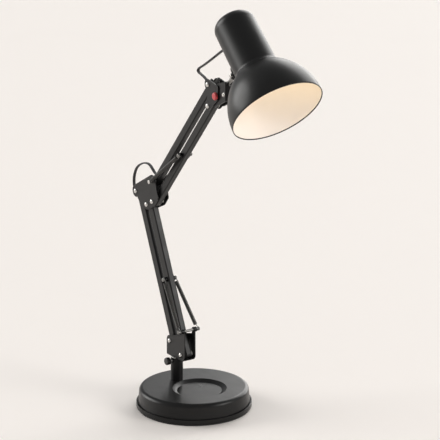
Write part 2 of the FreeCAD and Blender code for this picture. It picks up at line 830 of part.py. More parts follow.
def channel_bar(label, pivot, depth, span, lean, end, cross=None, notches=()):
    """A rolled channel with a narrow slot up its rear, round ends and pivot holes.

    Its own Z runs along the bar from the lower pivot, and its web lies on the +X side.
    """
    body = new_body(label)
    half = f"({depth} / 2)"
    side = "(bar_width / 2)"
    inner = "(bar_width / 2 - bar_wall)"
    slot = "(bar_slot / 2)"
    past = f"({half} + {end})"
    section = new_sketch(body, "section", "XY_Plane", f"-{past}")
    outline(section, [
        (half, f"-{side}", "bar_web_round"), (half, side, "bar_web_round"),
        (f"-{half}", side, "bar_lip_round"), (f"-{half}", slot),
        (f"-{half} + bar_wall", slot),
        (f"-{half} + bar_wall", inner, "bar_lip_round - bar_wall"),
        (f"{half} - bar_wall", inner, "bar_web_round - bar_wall"),
        (f"{half} - bar_wall", f"-{inner}", "bar_web_round - bar_wall"),
        (f"-{half} + bar_wall", f"-{inner}", "bar_lip_round - bar_wall"),
        (f"-{half} + bar_wall", f"-{slot}"), (f"-{half}", f"-{slot}"),
        (f"-{half}", f"-{side}", "bar_lip_round")])
    pad(body, section, f"{span} + 2 * {past}")
    ends = new_sketch(body, "ends")
    rectangle(ends, f"-{half} - bar_wall", f"-{past} - bar_wall",
              f"{half} + bar_wall", f"{span} + {past} + bar_wall")
    belt(ends, [("0", f"-{end}", half, 1), ("0", f"{span} + {end}", half, 1)])
    pocket(body, ends)
    holes = new_sketch(body, "holes")
    for height in ("0", span) + ((cross,) if cross else ()):
        circle(holes, "0", height, HOLE)
    pocket(body, holes)
    for number, (low, high) in enumerate(notches, start=1):
        notch = new_sketch(body, f"lead_notch_{number}", "YZ_Plane")
        rectangle(notch, "-lead_notch_width / 2", low, "lead_notch_width / 2", high)
        pocket(body, notch, depth)
    return place(body, *pivot, lean=lean)


def plate(label, outline_wheels, holes, pivot, far):
    """A flat plate outside the bars, on the near or the far side."""
    body = new_body(label)
    shape = new_sketch(body, "outline")
    belt(shape, outline_wheels)
    for hole in holes:
        circle(shape, *hole, HOLE)
    pad(body, shape, "plate_wall")
    return place(body, *pivot, y="plate_reach" if far else "plate_wall - plate_reach")


def elbow_plates():
    link = "sqrt(link_x * link_x + link_drop * link_drop)"
    out = "(elbow_waist + elbow_waist_radius)"
    low_z = "(elbow_z - upper_link)"
    wheels = [
        ("elbow_x + elbow_corner_x", f"{low_z} + elbow_corner_z", "elbow_corner_radius", 1),
        ("elbow_x", "elbow_z", "elbow_upper_radius", 1),
        ("0", "0", "elbow_rear_radius", 1),
        (f"link_x / 2 - {out} * link_drop / {link}", f"-link_drop / 2 - {out} * link_x / {link}",
         "elbow_waist_radius", -1),
        ("link_x", "-link_drop", "elbow_front_radius", 1),
        ("elbow_x", low_z, "elbow_lower_radius", 1)]
    holes = [("0", "0"), ("link_x", "-link_drop"), ("elbow_x", "elbow_z"), ("elbow_x", low_z)]
    return [plate("elbow_plate_near", wheels, holes, REAR_ELBOW, far=False),
            plate("elbow_plate_far", wheels, holes, REAR_ELBOW, far=True)]


def head_plates():
    wheels = [
        ("tilt_x + head_front_x", "-tilt_drop - head_front_drop", "head_front_radius", 1),
        ("tilt_x + head_corner_x", "head_corner_rise - tilt_drop", "head_corner_radius", 1),
        ("0", "0", "head_upper_radius", 1),
        ("-head_waist - head_waist_radius", "-upper_link / 2", "head_waist_radius", -1),
        ("0", "-upper_link", "head_lower_radius", 1)]
    holes = [("0", "0"), ("0", "-upper_link"), ("tilt_x", "-tilt_drop")]
    return [plate("head_plate_near", wheels, holes, TOP_HEAD, far=False),
            plate("head_plate_far", wheels, holes, TOP_HEAD, far=True)]


def tilt_cap():
    """The plain cap over the tilt bolt's head."""
    bore = "bolt_head_radius + face_clearance"
    top = "-(plate_reach + tilt_cap_height)"
    ceiling = "-(plate_reach + bolt_head + face_clearance)"
    body = turned("tilt_cap", [
        (bore, "-plate_reach"), ("tilt_cap_radius", "-plate_reach"),
        ("tilt_cap_radius", top, "tilt_cap_round"), ("0", top), ("0", ceiling), (bore, ceiling)])
    return place(body, *TILT, across=True)


# Yoke and stem
NECK_AXIS = (f"({STEM[0]} + stem_length * sin(shade_lean))",
             f"({STEM[1]} + stem_length * cos(shade_lean))")
STEM_ALONG = "(shade_length - stem_back)"
SHADE = (f"({NECK_AXIS[0]} + {STEM_ALONG} * cos(shade_lean))",
         f"({NECK_AXIS[1]} - {STEM_ALONG} * sin(shade_lean))")
SHADE_LEAN = "shade_lean - 90"


def head_yoke():
    """A folded yoke on the tilt bolt, with a block across it that the stem is screwed into."""
    body = new_body("yoke_blank")
    cheeks = new_sketch(body, "cheeks")
    belt(cheeks, [
        ("yoke_front - yoke_corner", "yoke_corner - yoke_bottom", "yoke_corner", 1),
        ("yoke_front - yoke_corner", "yoke_top - yoke_corner", "yoke_corner", 1),
        ("-yoke_rear_x", "yoke_rear_rise", "yoke_rear_radius", 1),
        ("0", "0", "yoke_lug_radius", 1),
        ("-yoke_heel_x", "-yoke_heel_drop", "yoke_heel_radius", 1)])
    circle(cheeks, "0", "0", HOLE)
    pad(body, cheeks, "2 * yoke_reach", both_sides=True)
    inside = new_sketch(body, "inside")
    rectangle(inside, "-2 * yoke_front", "-2 * yoke_front", "yoke_front - yoke_wall", "2 * yoke_front")
    cut = body.newObject("PartDesign::Pocket", "yoke_inside_cut")
    cut.Profile = inside
    cut.SideType = "Symmetric"
    bind(cut, "Length", "2 * (yoke_reach - yoke_wall)")
    block = new_sketch(body, "block")
    outline(block, [
        (f"stem_start_x + ({along}) * sin(shade_lean) + ({aside}) * cos(shade_lean)",
         f"stem_start_rise + ({along}) * cos(shade_lean) - ({aside}) * sin(shade_lean)")
        for along, aside in (("stem_block_top - stem_block", "-stem_block_half"),
                             ("stem_block_top - stem_block", "stem_block_half"),
                             ("stem_block_top", "stem_block_half"),
                             ("stem_block_top", "-stem_block_half"))])
    pad(body, block, "2 * (yoke_reach - yoke_wall)", both_sides=True)
    place(body, *TILT)
    narrow, wide = "stem_radius + pin_clearance", "stem_shoulder_radius + running_gap"
    bore = turned("yoke_bore", [
        ("0", "-2 * stem_block"), (narrow, "-2 * stem_block"), (narrow, "stem_block_top"),
        (wide, "stem_block_top"), (wide, "2 * stem_block"), ("0", "2 * stem_block")])
    place(bore, *STEM, lean="shade_lean")
    yoke = document.addObject("Part::Cut", "head_yoke")
    yoke.Label = "head_yoke"
    yoke.Base = body
    yoke.Tool = bore
    return yoke


SADDLE_LOW = "(stem_length - throat_radius - saddle_depth)"
CAVITY_LOW = "(stem_length - throat_radius - saddle_cavity)"


def shade_stem():
    """The stem from the yoke to the shade, flanged at its top inside the saddle."""
    low = "stem_block_top - stem_block - stem_nut - face_clearance - bolt_tip"
    shoulder = "stem_block_top + stem_shoulder"
    flange = f"{CAVITY_LOW} + face_clearance"
    body = turned("shade_stem", [
        ("0", low), ("stem_radius", low, "bolt_tip / 2"), ("stem_radius", "stem_block_top"),
        ("stem_shoulder_radius", "stem_block_top"), ("stem_shoulder_radius", shoulder),
        ("stem_radius", shoulder), ("stem_radius", flange), ("stem_flange_radius", flange),
        ("stem_flange_radius", f"{flange} + stem_flange"), ("0", f"{flange} + stem_flange")])
    return place(body, *STEM, lean="shade_lean")


def stem_nut():
    body = nut("stem_nut", None, "stem_block_top - stem_block - stem_nut", "stem_nut_across",
               "stem_nut", "stem_radius + pin_clearance")
    return place(body, *STEM, lean="shade_lean")


def stem_collar():
    """The clamp ring on the stem, held by a small screw on the near side."""
    low = "collar_from_start"
    high = "collar_from_start + collar_length"
    bore = "stem_radius + pin_clearance"
    body = turned("stem_collar", [(bore, low), ("collar_radius", low, "stem_shoulder / 2"),
                                  ("collar_radius", high, "stem_shoulder / 2"), (bore, high)])
    hole = new_sketch(body, "screw_hole")
    circle(hole, "0", "collar_from_start + collar_length / 2", "collar_screw_radius + pin_clearance")
    pocket(body, hole, "collar_radius + pin_clearance", reverse=True)
    return place(body, *STEM, lean="shade_lean")


def collar_screw():
    head = "-(collar_radius + collar_screw_head + face_clearance)"
    seat = "-(collar_radius + face_clearance)"
    tip = "-(stem_radius + face_clearance)"
    middle = "(collar_from_start + collar_length / 2)"
    body = turned("collar_screw", [
        ("0", head), ("collar_screw_head_radius", head, "collar_screw_head / 2"),
        ("collar_screw_head_radius", seat), ("collar_screw_radius", seat),
        ("collar_screw_radius", tip), ("0", tip)])
    return place(body, f"{STEM[0]} + {middle} * sin(shade_lean)",
                 f"{STEM[1]} + {middle} * cos(shade_lean)", across=True)


# Shade and what is in it
def shade_profile(sketch, inset):
    """Half the shade: mouth, bell, throat fillet, tapering neck, shoulder and crown.

    The inset is measured inwards from the outer skin.
    """
    inset_value = value(inset)
    bell_x = value("mouth_radius - bell_radius")
    bell = value("bell_radius") - inset_value
    fillet_x = value("throat_radius + throat_fillet")
    fillet = value("throat_fillet") + inset_value
    fillet_z = math.sqrt((bell + fillet) ** 2 - (fillet_x - bell_x) ** 2)
    crown_z = value("shade_length - crown_radius")
    crown = value("crown_radius") - inset_value
    shoulder_x = value("neck_radius - shoulder_radius")
    shoulder = value("shoulder_radius") - inset_value
    shoulder_z = crown_z + math.sqrt((crown - shoulder) ** 2 - shoulder_x ** 2)
    mouth = (bell_x + bell, 0)
    share = bell / (bell + fillet)
    throat = (bell_x + (fillet_x - bell_x) * share, fillet_z * share)
    run = math.hypot(fillet_x - shoulder_x, shoulder_z - fillet_z)
    lean = math.asin((shoulder + fillet) / run)
    heading = math.atan2(shoulder_z - fillet_z, shoulder_x - fillet_x) - lean
    normal = (math.sin(heading), -math.cos(heading))
    foot = (fillet_x - normal[0] * fillet, fillet_z - normal[1] * fillet)
    top = (shoulder_x + normal[0] * shoulder, shoulder_z + normal[1] * shoulder)
    share = crown / (crown - shoulder)
    edge = (shoulder_x * share, crown_z + (shoulder_z - crown_z) * share)
    peak = (0, crown_z + crown)
    floor = add_line(sketch, (0, 0), mouth)
    bell_arc = add_arc(sketch, (bell_x, 0), bell, mouth, throat, True)
    fillet_arc = add_arc(sketch, (fillet_x, fillet_z), fillet, throat, foot, False)
    neck = add_line(sketch, foot, top)
    shoulder_arc = add_arc(sketch, (shoulder_x, shoulder_z), shoulder, top, edge, True)
    crown_arc = add_arc(sketch, (0, crown_z), crown, edge, peak, True)
    axis = add_line(sketch, peak, (0, 0))
    join(sketch, "Coincident", floor, 1, -1, 1)
    sketch.addConstraint(Sketcher.Constraint("Horizontal", floor))
    join(sketch, "Coincident", floor, 2, bell_arc[0], bell_arc[1])
    join(sketch, "Tangent", bell_arc[0], bell_arc[2], fillet_arc[0], fillet_arc[1])
    join(sketch, "Tangent", fillet_arc[0], fillet_arc[2], neck, 1)
    join(sketch, "Tangent", neck, 2, shoulder_arc[0], shoulder_arc[1])
    join(sketch, "Tangent", shoulder_arc[0], shoulder_arc[2], crown_arc[0], crown_arc[1])
    join(sketch, "Coincident", crown_arc[0], crown_arc[2], axis, 1)
    join(sketch, "Coincident", axis, 2, -1, 1)
    sketch.addConstraint(Sketcher.Constraint("Vertical", axis))
    fix_point(sketch, bell_arc[0], 3, ("mouth_radius - bell_radius", "0"))
    fix_point(sketch, crown_arc[0], 3, ("0", "shade_length - crown_radius"))
    for arc, text in ((fillet_arc, "throat_radius + throat_fillet"),
                      (shoulder_arc, "neck_radius - shoulder_radius")):
        mark = sketch.addConstraint(Sketcher.Constraint("DistanceX", -1, 1, arc[0], 3, value(text)))
        bind(sketch, f"Constraints[{mark}]", text)
    fix_radius(sketch, bell_arc[0], f"bell_radius - ({inset})")
    fix_radius(sketch, fillet_arc[0], f"throat_fillet + ({inset})")
    fix_radius(sketch, shoulder_arc[0], f"shoulder_radius - ({inset})")
    fix_radius(sketch, crown_arc[0], f"crown_radius - ({inset})")


BEZEL_SKIRT = "(button_radius + pin_clearance + bezel_wall)"
HOLDER_NECK = "(neck_radius - shade_wall - pin_clearance)"
HOLDER_END = "(shade_length - holder_inset)"
HOLDER_STEP = f"({HOLDER_END} - holder_cap_length)"
HOLDER_MOUTH = f"({HOLDER_END} - holder_length)"
HOLDER_BORE_END = f"({HOLDER_MOUTH} + holder_bore_depth)"
GLAND_ALONG = f"({HOLDER_STEP} + holder_plate_wall + holder_lip + running_gap + gland_radius)"
SWITCH_TOP = f"({HOLDER_END} + switch_height)"


def in_shade(body):
    return place(body, *SHADE, lean=SHADE_LEAN)


def shade():
    """The spun shade: a bell on a long neck with a domed crown."""
    body = new_body("shade")
    outer = new_sketch(body, "outer")
    shade_profile(outer, "0")
    turn(body, outer)
    inner = new_sketch(body, "inner")
    shade_profile(inner, "shade_wall")
    turn(body, inner, "Groove")
    side = new_sketch(body, "side_holes", "YZ_Plane")
    circle(side, "rivet_y", STEM_ALONG, "rivet_radius + pin_clearance")
    circle(side, "-rivet_y", STEM_ALONG, "rivet_radius + pin_clearance")
    circle(side, "0", GLAND_ALONG, "gland_radius - gland_lip + pin_clearance")
    pocket(body, side, "throat_radius + shade_wall")
    crown = new_sketch(body, "crown_hole", "XY_Plane")
    circle(crown, "0", "0", f"{BEZEL_SKIRT} + pin_clearance")
    pocket(body, crown)
    return in_shade(body)


def shade_saddle():
    """The saddle under the neck, hollowed to the neck's own curve, that turns on the stem."""
    bore = "stem_radius + pin_clearance"
    top = "stem_length - throat_radius + saddle_cavity"
    blank = turned("saddle_blank", [
        (bore, SADDLE_LOW), ("saddle_radius", SADDLE_LOW, "stem_shoulder"), ("saddle_radius", top),
        ("saddle_cavity_radius", top), ("saddle_cavity_radius", CAVITY_LOW), (bore, CAVITY_LOW)])
    holes = new_sketch(blank, "rivet_holes", "XY_Plane")
    circle(holes, "0", "rivet_y", "rivet_radius + pin_clearance")
    circle(holes, "0", "-rivet_y", "rivet_radius + pin_clearance")
    pocket(blank, holes)
    place(blank, *STEM, lean="shade_lean")
    form = new_body("saddle_form")
    skin = new_sketch(form, "skin")
    shade_profile(skin, "-pin_clearance")
    turn(form, skin)
    in_shade(form)
    saddle = document.addObject("Part::Cut", "shade_saddle")
    saddle.Label = "shade_saddle"
    saddle.Base = blank
    saddle.Tool = form
    return saddle


def shade_rivets():
    """Two rivets through the saddle and the neck's wall."""
    hollow = "((neck_radius + throat_radius) / 2 - shade_wall)"
    edge = "(rivet_y + rivet_head_radius)"
    inside = f"(stem_length - sqrt({hollow} * {hollow} - {edge} * {edge}))"
    rivets = []
    for number, y in enumerate(("rivet_y", "-rivet_y"), start=1):
        body = turned(f"shade_rivet_{number}", [
            ("0", f"{SADDLE_LOW} - rivet_head"),
            ("rivet_head_radius", f"{SADDLE_LOW} - rivet_head", "rivet_head / 2"),
            ("rivet_head_radius", SADDLE_LOW), ("rivet_radius", SADDLE_LOW),
            ("rivet_radius", inside), ("rivet_head_radius", inside),
            ("rivet_head_radius", f"{inside} + rivet_head", "rivet_head / 2"),
            ("0", f"{inside} + rivet_head")])
        rivets.append(place(body, *STEM, y=y, lean="shade_lean"))
    return group("shade_rivets", rivets)


def lampholder():
    return in_shade(turned("lampholder", [
        ("0", HOLDER_END), ("holder_cap_radius", HOLDER_END, "holder_round"),
        ("holder_cap_radius", HOLDER_STEP), ("holder_radius", HOLDER_STEP),
        ("holder_radius", HOLDER_MOUTH, "holder_round"), ("holder_bore", HOLDER_MOUTH),
        ("holder_bore", HOLDER_BORE_END), ("0", HOLDER_BORE_END)]))


def holder_plate():
    """The lipped ring that holds the lampholder in the neck."""
    bore = "holder_cap_radius + pin_clearance"
    floor = f"{HOLDER_STEP} + holder_plate_wall"
    lip = f"{floor} + holder_lip"
    return in_shade(turned("holder_plate", [
        (bore, HOLDER_STEP), (HOLDER_NECK, HOLDER_STEP, "holder_plate_wall"),
        (HOLDER_NECK, lip), (f"{HOLDER_NECK} - holder_plate_wall", lip),
        (f"{HOLDER_NECK} - holder_plate_wall", floor), (bore, floor)]))


def holder_ring():
    """The ring nut that clamps the lampholder to its plate."""
    bore = "holder_cap_radius + pin_clearance"
    low = f"{HOLDER_STEP} + holder_plate_wall"
    high = f"{low} + ring_nut_height"
    return in_shade(turned("holder_ring", [
        (bore, low), ("ring_nut_radius", low), ("ring_nut_radius", high, "ring_nut_round"),
        (bore, high)]))


def switch_body():
    return in_shade(turned("switch_body", [
        ("0", HOLDER_END), ("switch_radius", HOLDER_END),
        ("switch_radius", SWITCH_TOP, "switch_round"), ("0", SWITCH_TOP)]))


def switch_bezel():
    """The ring round the push button in the crown, its skirt through the crown's hole."""
    bore = "button_radius + pin_clearance"
    low = f"{SWITCH_TOP} + button_travel"
    return in_shade(turned("switch_bezel", [
        (bore, low), (BEZEL_SKIRT, low), (BEZEL_SKIRT, "shade_length"),
        ("bezel_radius", "shade_length"),
        ("bezel_radius", "shade_length + bezel_rise", "bezel_rise / 2"),
        (bore, "shade_length + bezel_rise")]))


def switch_button():
    top = "shade_length + button_rise"
    low = f"{SWITCH_TOP} + button_travel + running_gap"
    return in_shade(turned("switch_button", [
        ("0", low), ("button_radius", low), ("button_radius", top, "bezel_rise / 2"), ("0", top)]))


def bulb():
    """A small globe bulb: its cap in the lampholder and its glass towards the mouth."""
    seat = f"({HOLDER_BORE_END} - running_gap)"
    joint = f"({seat} - bulb_base_length)"
    tip = f"({HOLDER_MOUTH} - bulb_reach)"
    cap = turned("bulb_base", [
        ("0", seat), ("bulb_base_radius", seat, "bulb_base_round"),
        ("bulb_base_radius", joint), ("0", joint)])
    glass = turned("bulb_glass", [
        ("0", tip), ("bulb_radius", tip, "bulb_radius - bulb_pole"),
        ("bulb_radius", f"{HOLDER_MOUTH} - bulb_belly_reach", "bulb_belly_round"),
        ("bulb_neck_radius", HOLDER_MOUTH, "bulb_neck_round"), ("bulb_neck_radius", joint),
        ("0", joint)])
    return [in_shade(cap), in_shade(glass)]


GLAND_RISE = "(stem_length - neck_radius - running_gap)"
GLAND_BACK = f"({GLAND_ALONG} - {STEM_ALONG})"
GLAND = (f"({STEM[0]} + {GLAND_RISE} * sin(shade_lean) - {GLAND_BACK} * cos(shade_lean))",
         f"({STEM[1]} + {GLAND_RISE} * cos(shade_lean) + {GLAND_BACK} * sin(shade_lean))")


def neck_gland():
    """The rubber ring that the lead goes through into the neck."""
    hole = "gland_radius - gland_lip"
    hollow = "(neck_radius - shade_wall)"
    inside = f"(neck_radius + running_gap - sqrt({hollow} * {hollow} - gland_radius * gland_radius))"
    body = turned("neck_gland", [
        ("gland_bore", "-gland_lip"), ("gland_radius", "-gland_lip", "gland_lip / 2"),
        ("gland_radius", "0"), (hole, "0"), (hole, inside), ("gland_radius", inside),
        ("gland_radius", f"{inside} + gland_lip"), ("gland_bore", f"{inside} + gland_lip")])
    return place(body, *GLAND, lean="shade_lean")


# Lead
def lead_inlet():
    """The rubber inlet low in the rear bar, with a nozzle through the bar's slot."""
    body = new_body("lead_inlet")
    reach = "(lower_depth / 2 - bar_wall - face_clearance)"
    side = "(bar_width / 2 - bar_wall - face_clearance)"
    block = new_sketch(body, "block", "XY_Plane", "inlet_height")
    outline(block, [(reach, f"-{side}", "bar_wall"), (reach, side, "bar_wall"),
                    (f"-{reach}", side, "bar_lip_round"), (f"-{reach}", f"-{side}", "bar_lip_round")])
    pad(body, block, "inlet_length")
    nozzle = new_sketch(body, "nozzle", "YZ_Plane")
    circle(nozzle, "0", "inlet_height + inlet_length / 2", "bar_slot / 2 - face_clearance")
    pad(body, nozzle, "lower_depth / 2 + inlet_nozzle").Reversed = True
    return place(body, *REAR_FOOT, lean=LOWER)


def along_bar(pivot, lean, height, aside):
    """A place in a bar's own frame, as row coordinates X and Z."""
    start, angle = spot(pivot), math.radians(value(lean))
    return (start[0] + height * math.sin(angle) + aside * math.cos(angle),
            start[1] + height * math.cos(angle) - aside * math.sin(angle))


# The loop over the elbow and the fold behind the head, as shares of their reach
LOOP_SHARES = [(-0.162, -0.2484), (-0.378, -0.0756), (-0.4579, 0.1188), (-0.4492, 0.3456),
               (-0.3348, 0.6263), (-0.1296, 0.8207), (0.1512, 0.9503), (0.4536, 1),
               (0.6479, 0.9201)]
FOLD_SHARES = [(-0.3383, -0.1542), (-0.3831, 0.0348), (-0.5721, 0.1393), (-0.796, 0.2139),
               (-1, 0.2786), (-0.9701, 0.393), (-0.7338, 0.5149), (-0.4055, 0.6866)]


def lead_route():
    """The lead's corners in the arm plane, and the runs that end one stretch and start the next.

    It runs up inside the rear bar, loops over the elbow, runs up inside the upper bar, folds back
    behind the head and goes straight into the neck.
    """
    elbow, head, gland = spot(REAR_ELBOW), spot(TOP_HEAD), vector(*spot(GLAND), 0)
    low, high = -value("lead_lower_seat"), -value("lead_upper_seat")
    loop, fold = value("lead_loop"), value("lead_fold")
    corners = [along_bar(REAR_FOOT, LOWER, value("inlet_height + inlet_length"), low),
               along_bar(REAR_FOOT, LOWER, value("lower_span - lead_notch"), low)]
    corners += [(elbow[0] + x * loop, elbow[1] + z * loop) for x, z in LOOP_SHARES]
    corners += [along_bar(TOP_ELBOW, UPPER, value("lead_entry"), -value("lead_entry_aside")),
                along_bar(TOP_ELBOW, UPPER, value("lead_entry_run"), high),
                along_bar(TOP_ELBOW, UPPER, value("upper_span - lead_exit_run"), high)]
    corners += [(head[0] + x * fold, head[1] + z * fold) for x, z in FOLD_SHARES]
    last = vector(*corners[-1], 0)
    heading = (gland - last).normalize()
    lean = math.radians(value("shade_lean"))
    rise = heading.dot(vector(math.sin(lean), math.cos(lean), 0))
    inside = value("neck_radius - holder_cap_radius - lead_height / 2 - 2 * running_gap") / rise
    corners.append(tuple(gland + heading * inside)[:2])
    return corners


def arc_middle(centre, first, last, radius):
    """The point half way along the short arc from first to last."""
    return centre + ((first + last) / 2 - centre).normalize() * radius


def lead_edges(corners):
    """Straight runs joined by tangent arcs, each as large as its two runs allow."""
    points = [vector(x, 0, z) for x, z in corners]
    edges = []
    start = points[0]
    for number in range(1, len(points) - 1):
        back = points[number - 1] - points[number]
        ahead = points[number + 1] - points[number]
        reach = value("lead_bend_share") * min(back.Length, ahead.Length)
        half = back.getAngle(ahead) / 2
        radius = reach * math.tan(half)
        entry = points[number] + back.normalize() * reach
        leave = points[number] + ahead.normalize() * reach
        centre = points[number] + (back + ahead).normalize() * math.hypot(reach, radius)
        print(f"lead corner {number}: radius {radius:.1f}")
        edges.append(Part.LineSegment(start, entry).toShape())
        middle = arc_middle(centre, entry, leave, radius)
        edges.append(Part.Arc(entry, middle, leave).toShape())
        start = leave
    edges.append(Part.LineSegment(start, points[-1]).toShape())
    return edges


def flat_section(start, heading):
    """The twin cord's round-sided section, wide across the arm plane."""
    thick = vector(0, 1, 0).cross(heading).normalize() * (value("lead_height") / 2)
    wide = vector(0, (value("lead_width") - value("lead_height")) / 2, 0)
    bulge = vector(0, value("lead_width") / 2, 0)
    return Part.Wire([
        Part.LineSegment(start - wide + thick, start + wide + thick).toShape(),
        Part.Arc(start + wide + thick, start + bulge, start + wide - thick).toShape(),
        Part.LineSegment(start + wide - thick, start - wide - thick).toShape(),
        Part.Arc(start - wide - thick, start - bulge, start - wide + thick).toShape()])


def cord_solid(edges):
    """The lead along some edges, its volume checked against its section times its length."""
    path = Part.Wire(edges)
    start = edges[0].valueAt(edges[0].FirstParameter)
    heading = edges[0].tangentAt(edges[0].FirstParameter)
    section = flat_section(start, heading)
    solid = path.makePipeShell([section], True, False)
    expected = Part.Face(section).Area * path.Length
    print(f"lead length {path.Length:.1f}, volume ratio {solid.Volume / expected:.4f}")
    assert abs(solid.Volume / expected - 1) < 0.01
    return solid


# The corner that ends each stretch, and 1 where the stretch takes in the bend there
LEAD_ENDS = (
    ("lead_lower", 1, 0), ("lead_elbow_lower", 9, 0), ("lead_elbow_upper", 12, 1),
    ("lead_upper", 13, 0), ("lead_head_lower", 19, 0), ("lead_head_middle", 21, 1))


def edges_before(corner):
    """How many edges run up to the bend at a corner, with a straight and a bend at each before."""
    bends = corner - 1
    return corner + bends


def leads():
    """The lead in stretches, cut where one moving piece hands it to the next."""
    corners = lead_route()
    edges = lead_edges(corners)
    made = []
    first = 0
    for label, corner, after_bend in LEAD_ENDS:
        last = edges_before(corner) + after_bend
        made.append(feature(label, cord_solid(edges[first:last])))
        first = last
    made.append(feature("lead_head_upper", cord_solid(edges[first:])))
    return made


def feature(label, shape):
    made = document.addObject("Part::Feature", label)
    made.Label = label
    made.Shape = shape
    return made


# Springs
def biarc(first, heading, last, leaving):
    """Two tangent arcs from a point and heading to another."""
    chord = last - first
    turn_share = 2 * (1 - heading.dot(leaving))
    along = chord.dot(heading + leaving)
    reach = (-along + math.sqrt(along * along + turn_share * chord.dot(chord))) / turn_share
    corners = (first + heading * reach, last - leaving * reach)
    middle = (corners[0] + corners[1]) / 2
    arcs = []
    for start, corner, stop in ((first, corners[0], middle), (middle, corners[1], last)):
        half = (start + stop) / 2
        rise = corner - half
        angle = math.atan2(rise.Length, (stop - start).Length / 2)
        crest = half + rise.normalize() * ((stop - start).Length / 2 * math.tan(angle / 2))
        arcs.append(Part.Arc(start, crest, stop).toShape())
    return arcs


def tube(edges):
    """A round wire along tangent edges."""
    start = edges[0].valueAt(edges[0].FirstParameter)
    heading = edges[0].tangentAt(edges[0].FirstParameter)
    ring = Part.Wire([Part.Circle(start, heading, value("wire_radius")).toShape()])
    return Part.Wire(edges).makePipeShell([ring], True, False)


def coil_edges(low, high, turns):
    """A helix up Z from low to high in quarter turns, with a short straight end at both ends."""
    radius = value("coil_radius")
    pitch = (high - low) / turns
    slope = pitch / (2 * math.pi)
    steps = 4 * turns
    points, headings = [], []
    for step in range(steps + 1):
        angle = step * math.pi / 2
        points.append(vector(radius * math.cos(angle), radius * math.sin(angle),
                             low + (high - low) * step / steps))
        headings.append(vector(-radius * math.sin(angle), radius * math.cos(angle), slope).normalize())
    wire = 2 * value("wire_radius")
    edges = [Part.LineSegment(points[0] - headings[0] * wire, points[0]).toShape()]
    for step in range(steps):
        edges += biarc(points[step], headings[step], points[step + 1], headings[step + 1])
    edges.append(Part.LineSegment(points[-1], points[-1] + headings[-1] * wire).toShape())
    gap = pitch * math.cos(math.atan(slope / radius)) - wire
    print(f"coil pitch {pitch:.2f}, gap between turns {gap:.2f}")
    return edges


def hook_edges(start, end_sign):
    """A straight shank from the coil to the rod and a loop most of the way round the rod."""
    radius = value("coil_radius")
    shank = Part.LineSegment(vector(radius, 0, start), vector(radius, 0, 0)).toShape()
    middle = vector(0, 0, -end_sign * radius)
    last = vector(-radius * math.cos(math.pi / 6), 0, end_sign * radius * math.sin(math.pi / 6))
    return [shank, Part.Arc(vector(radius, 0, 0), middle, last).toShape()]


def spring(label, low_pivot, low_seat, low_hook, high_pivot, high_seat, side):
    """A drawn coil between two rods, with a hook at each end."""
    low = vector(value(low_pivot[0]), side * value(low_seat), value(low_pivot[1]))
    high = vector(value(high_pivot[0]), side * value(high_seat), value(high_pivot[1]))
    length = (high - low).Length
    wire = value("wire_radius")
    first, last = value(low_hook), length - value("coil_top_hook")
    coil = tube(coil_edges(first, last, int(value("coil_turns"))))
    low_loop = tube(hook_edges(first - wire, 1))
    high_loop = tube(hook_edges(-value("coil_top_hook") + wire, -1))
    high_loop.translate(vector(0, 0, length))
    made = feature(label, Part.Compound([coil, low_loop, high_loop]))
    upright = (high - low).normalize()
    across = vector(0, 1, 0)
    sideways = across.cross(upright).normalize()
    depth = upright.cross(sideways)
    made.Placement = FreeCAD.Placement(low, FreeCAD.Rotation(sideways, depth, upright, "ZXY"))
    return made


# The lamp
def lower_arm():
    return [
        channel_bar("lower_bar_rear", REAR_FOOT, "lower_depth", "lower_span", LOWER, "lower_end",
                    notches=[("lower_span - lead_notch", "lower_span + lower_depth")]),
        channel_bar("lower_bar_front", FRONT_FOOT, "lower_depth", "lower_span", LOWER, "lower_end",
                    cross="lower_cross"),
        ringed_rod("lower_cross_bolt", LOWER_CROSS, "cross_reach", "cross_seat",
                   "(bar_width / 2 + pin_clearance)", "cross_sleeve", "sleeve_radius"),
    ]


def upper_arm():
    return [
        channel_bar("upper_bar_top", TOP_ELBOW, "upper_depth", "upper_span", UPPER, "upper_end",
                    notches=[("-upper_depth", "lead_notch_low"),
                             ("upper_span - lead_notch", "upper_span + upper_depth")]),
        channel_bar("upper_bar_bottom", LOW_ELBOW, "upper_depth", "upper_span", UPPER, "upper_end",
                    cross="upper_cross"),
        ringed_rod("upper_cross_bolt", UPPER_CROSS, "cross_reach", "cross_seat",
                   "(bar_width / 2 + pin_clearance)", "cross_sleeve", "sleeve_radius"),
    ]


def foot():
    pivots = (REAR_FOOT, FRONT_FOOT)
    return [
        swivel_pin(), foot_bracket(),
        bolts_and_nuts("foot_bolts", pivots),
        side_sleeves("foot_sleeves", pivots),
        ringed_rod("anchor_rod", ANCHOR, "anchor_reach", "anchor_seat",
                   "(plate_reach + face_clearance)", "anchor_collar", "anchor_collar_radius"),
    ]


def elbow():
    pivots = (REAR_ELBOW, FRONT_ELBOW, LOW_ELBOW)
    return [
        *elbow_plates(),
        bolts_and_nuts("elbow_bolts", pivots),
        side_sleeves("elbow_sleeves", pivots + (TOP_ELBOW,)),
        seated_rod("upper_anchor_rod", TOP_ELBOW, "upper_anchor_reach", "upper_anchor_seat"),
    ]


def head():
    pivots = (TOP_HEAD, LOW_HEAD)
    inside = "yoke_reach - yoke_wall - face_clearance"
    return [
        *head_plates(),
        bolts_and_nuts("head_bolts", pivots + (TILT,)),
        side_sleeves("head_sleeves", pivots),
        tilt_cap(), head_yoke(), sleeve("tilt_sleeve", TILT, f"-({inside})", inside),
        shade_stem(), stem_collar(), group("stem_fasteners", [stem_nut(), collar_screw()]),
    ]


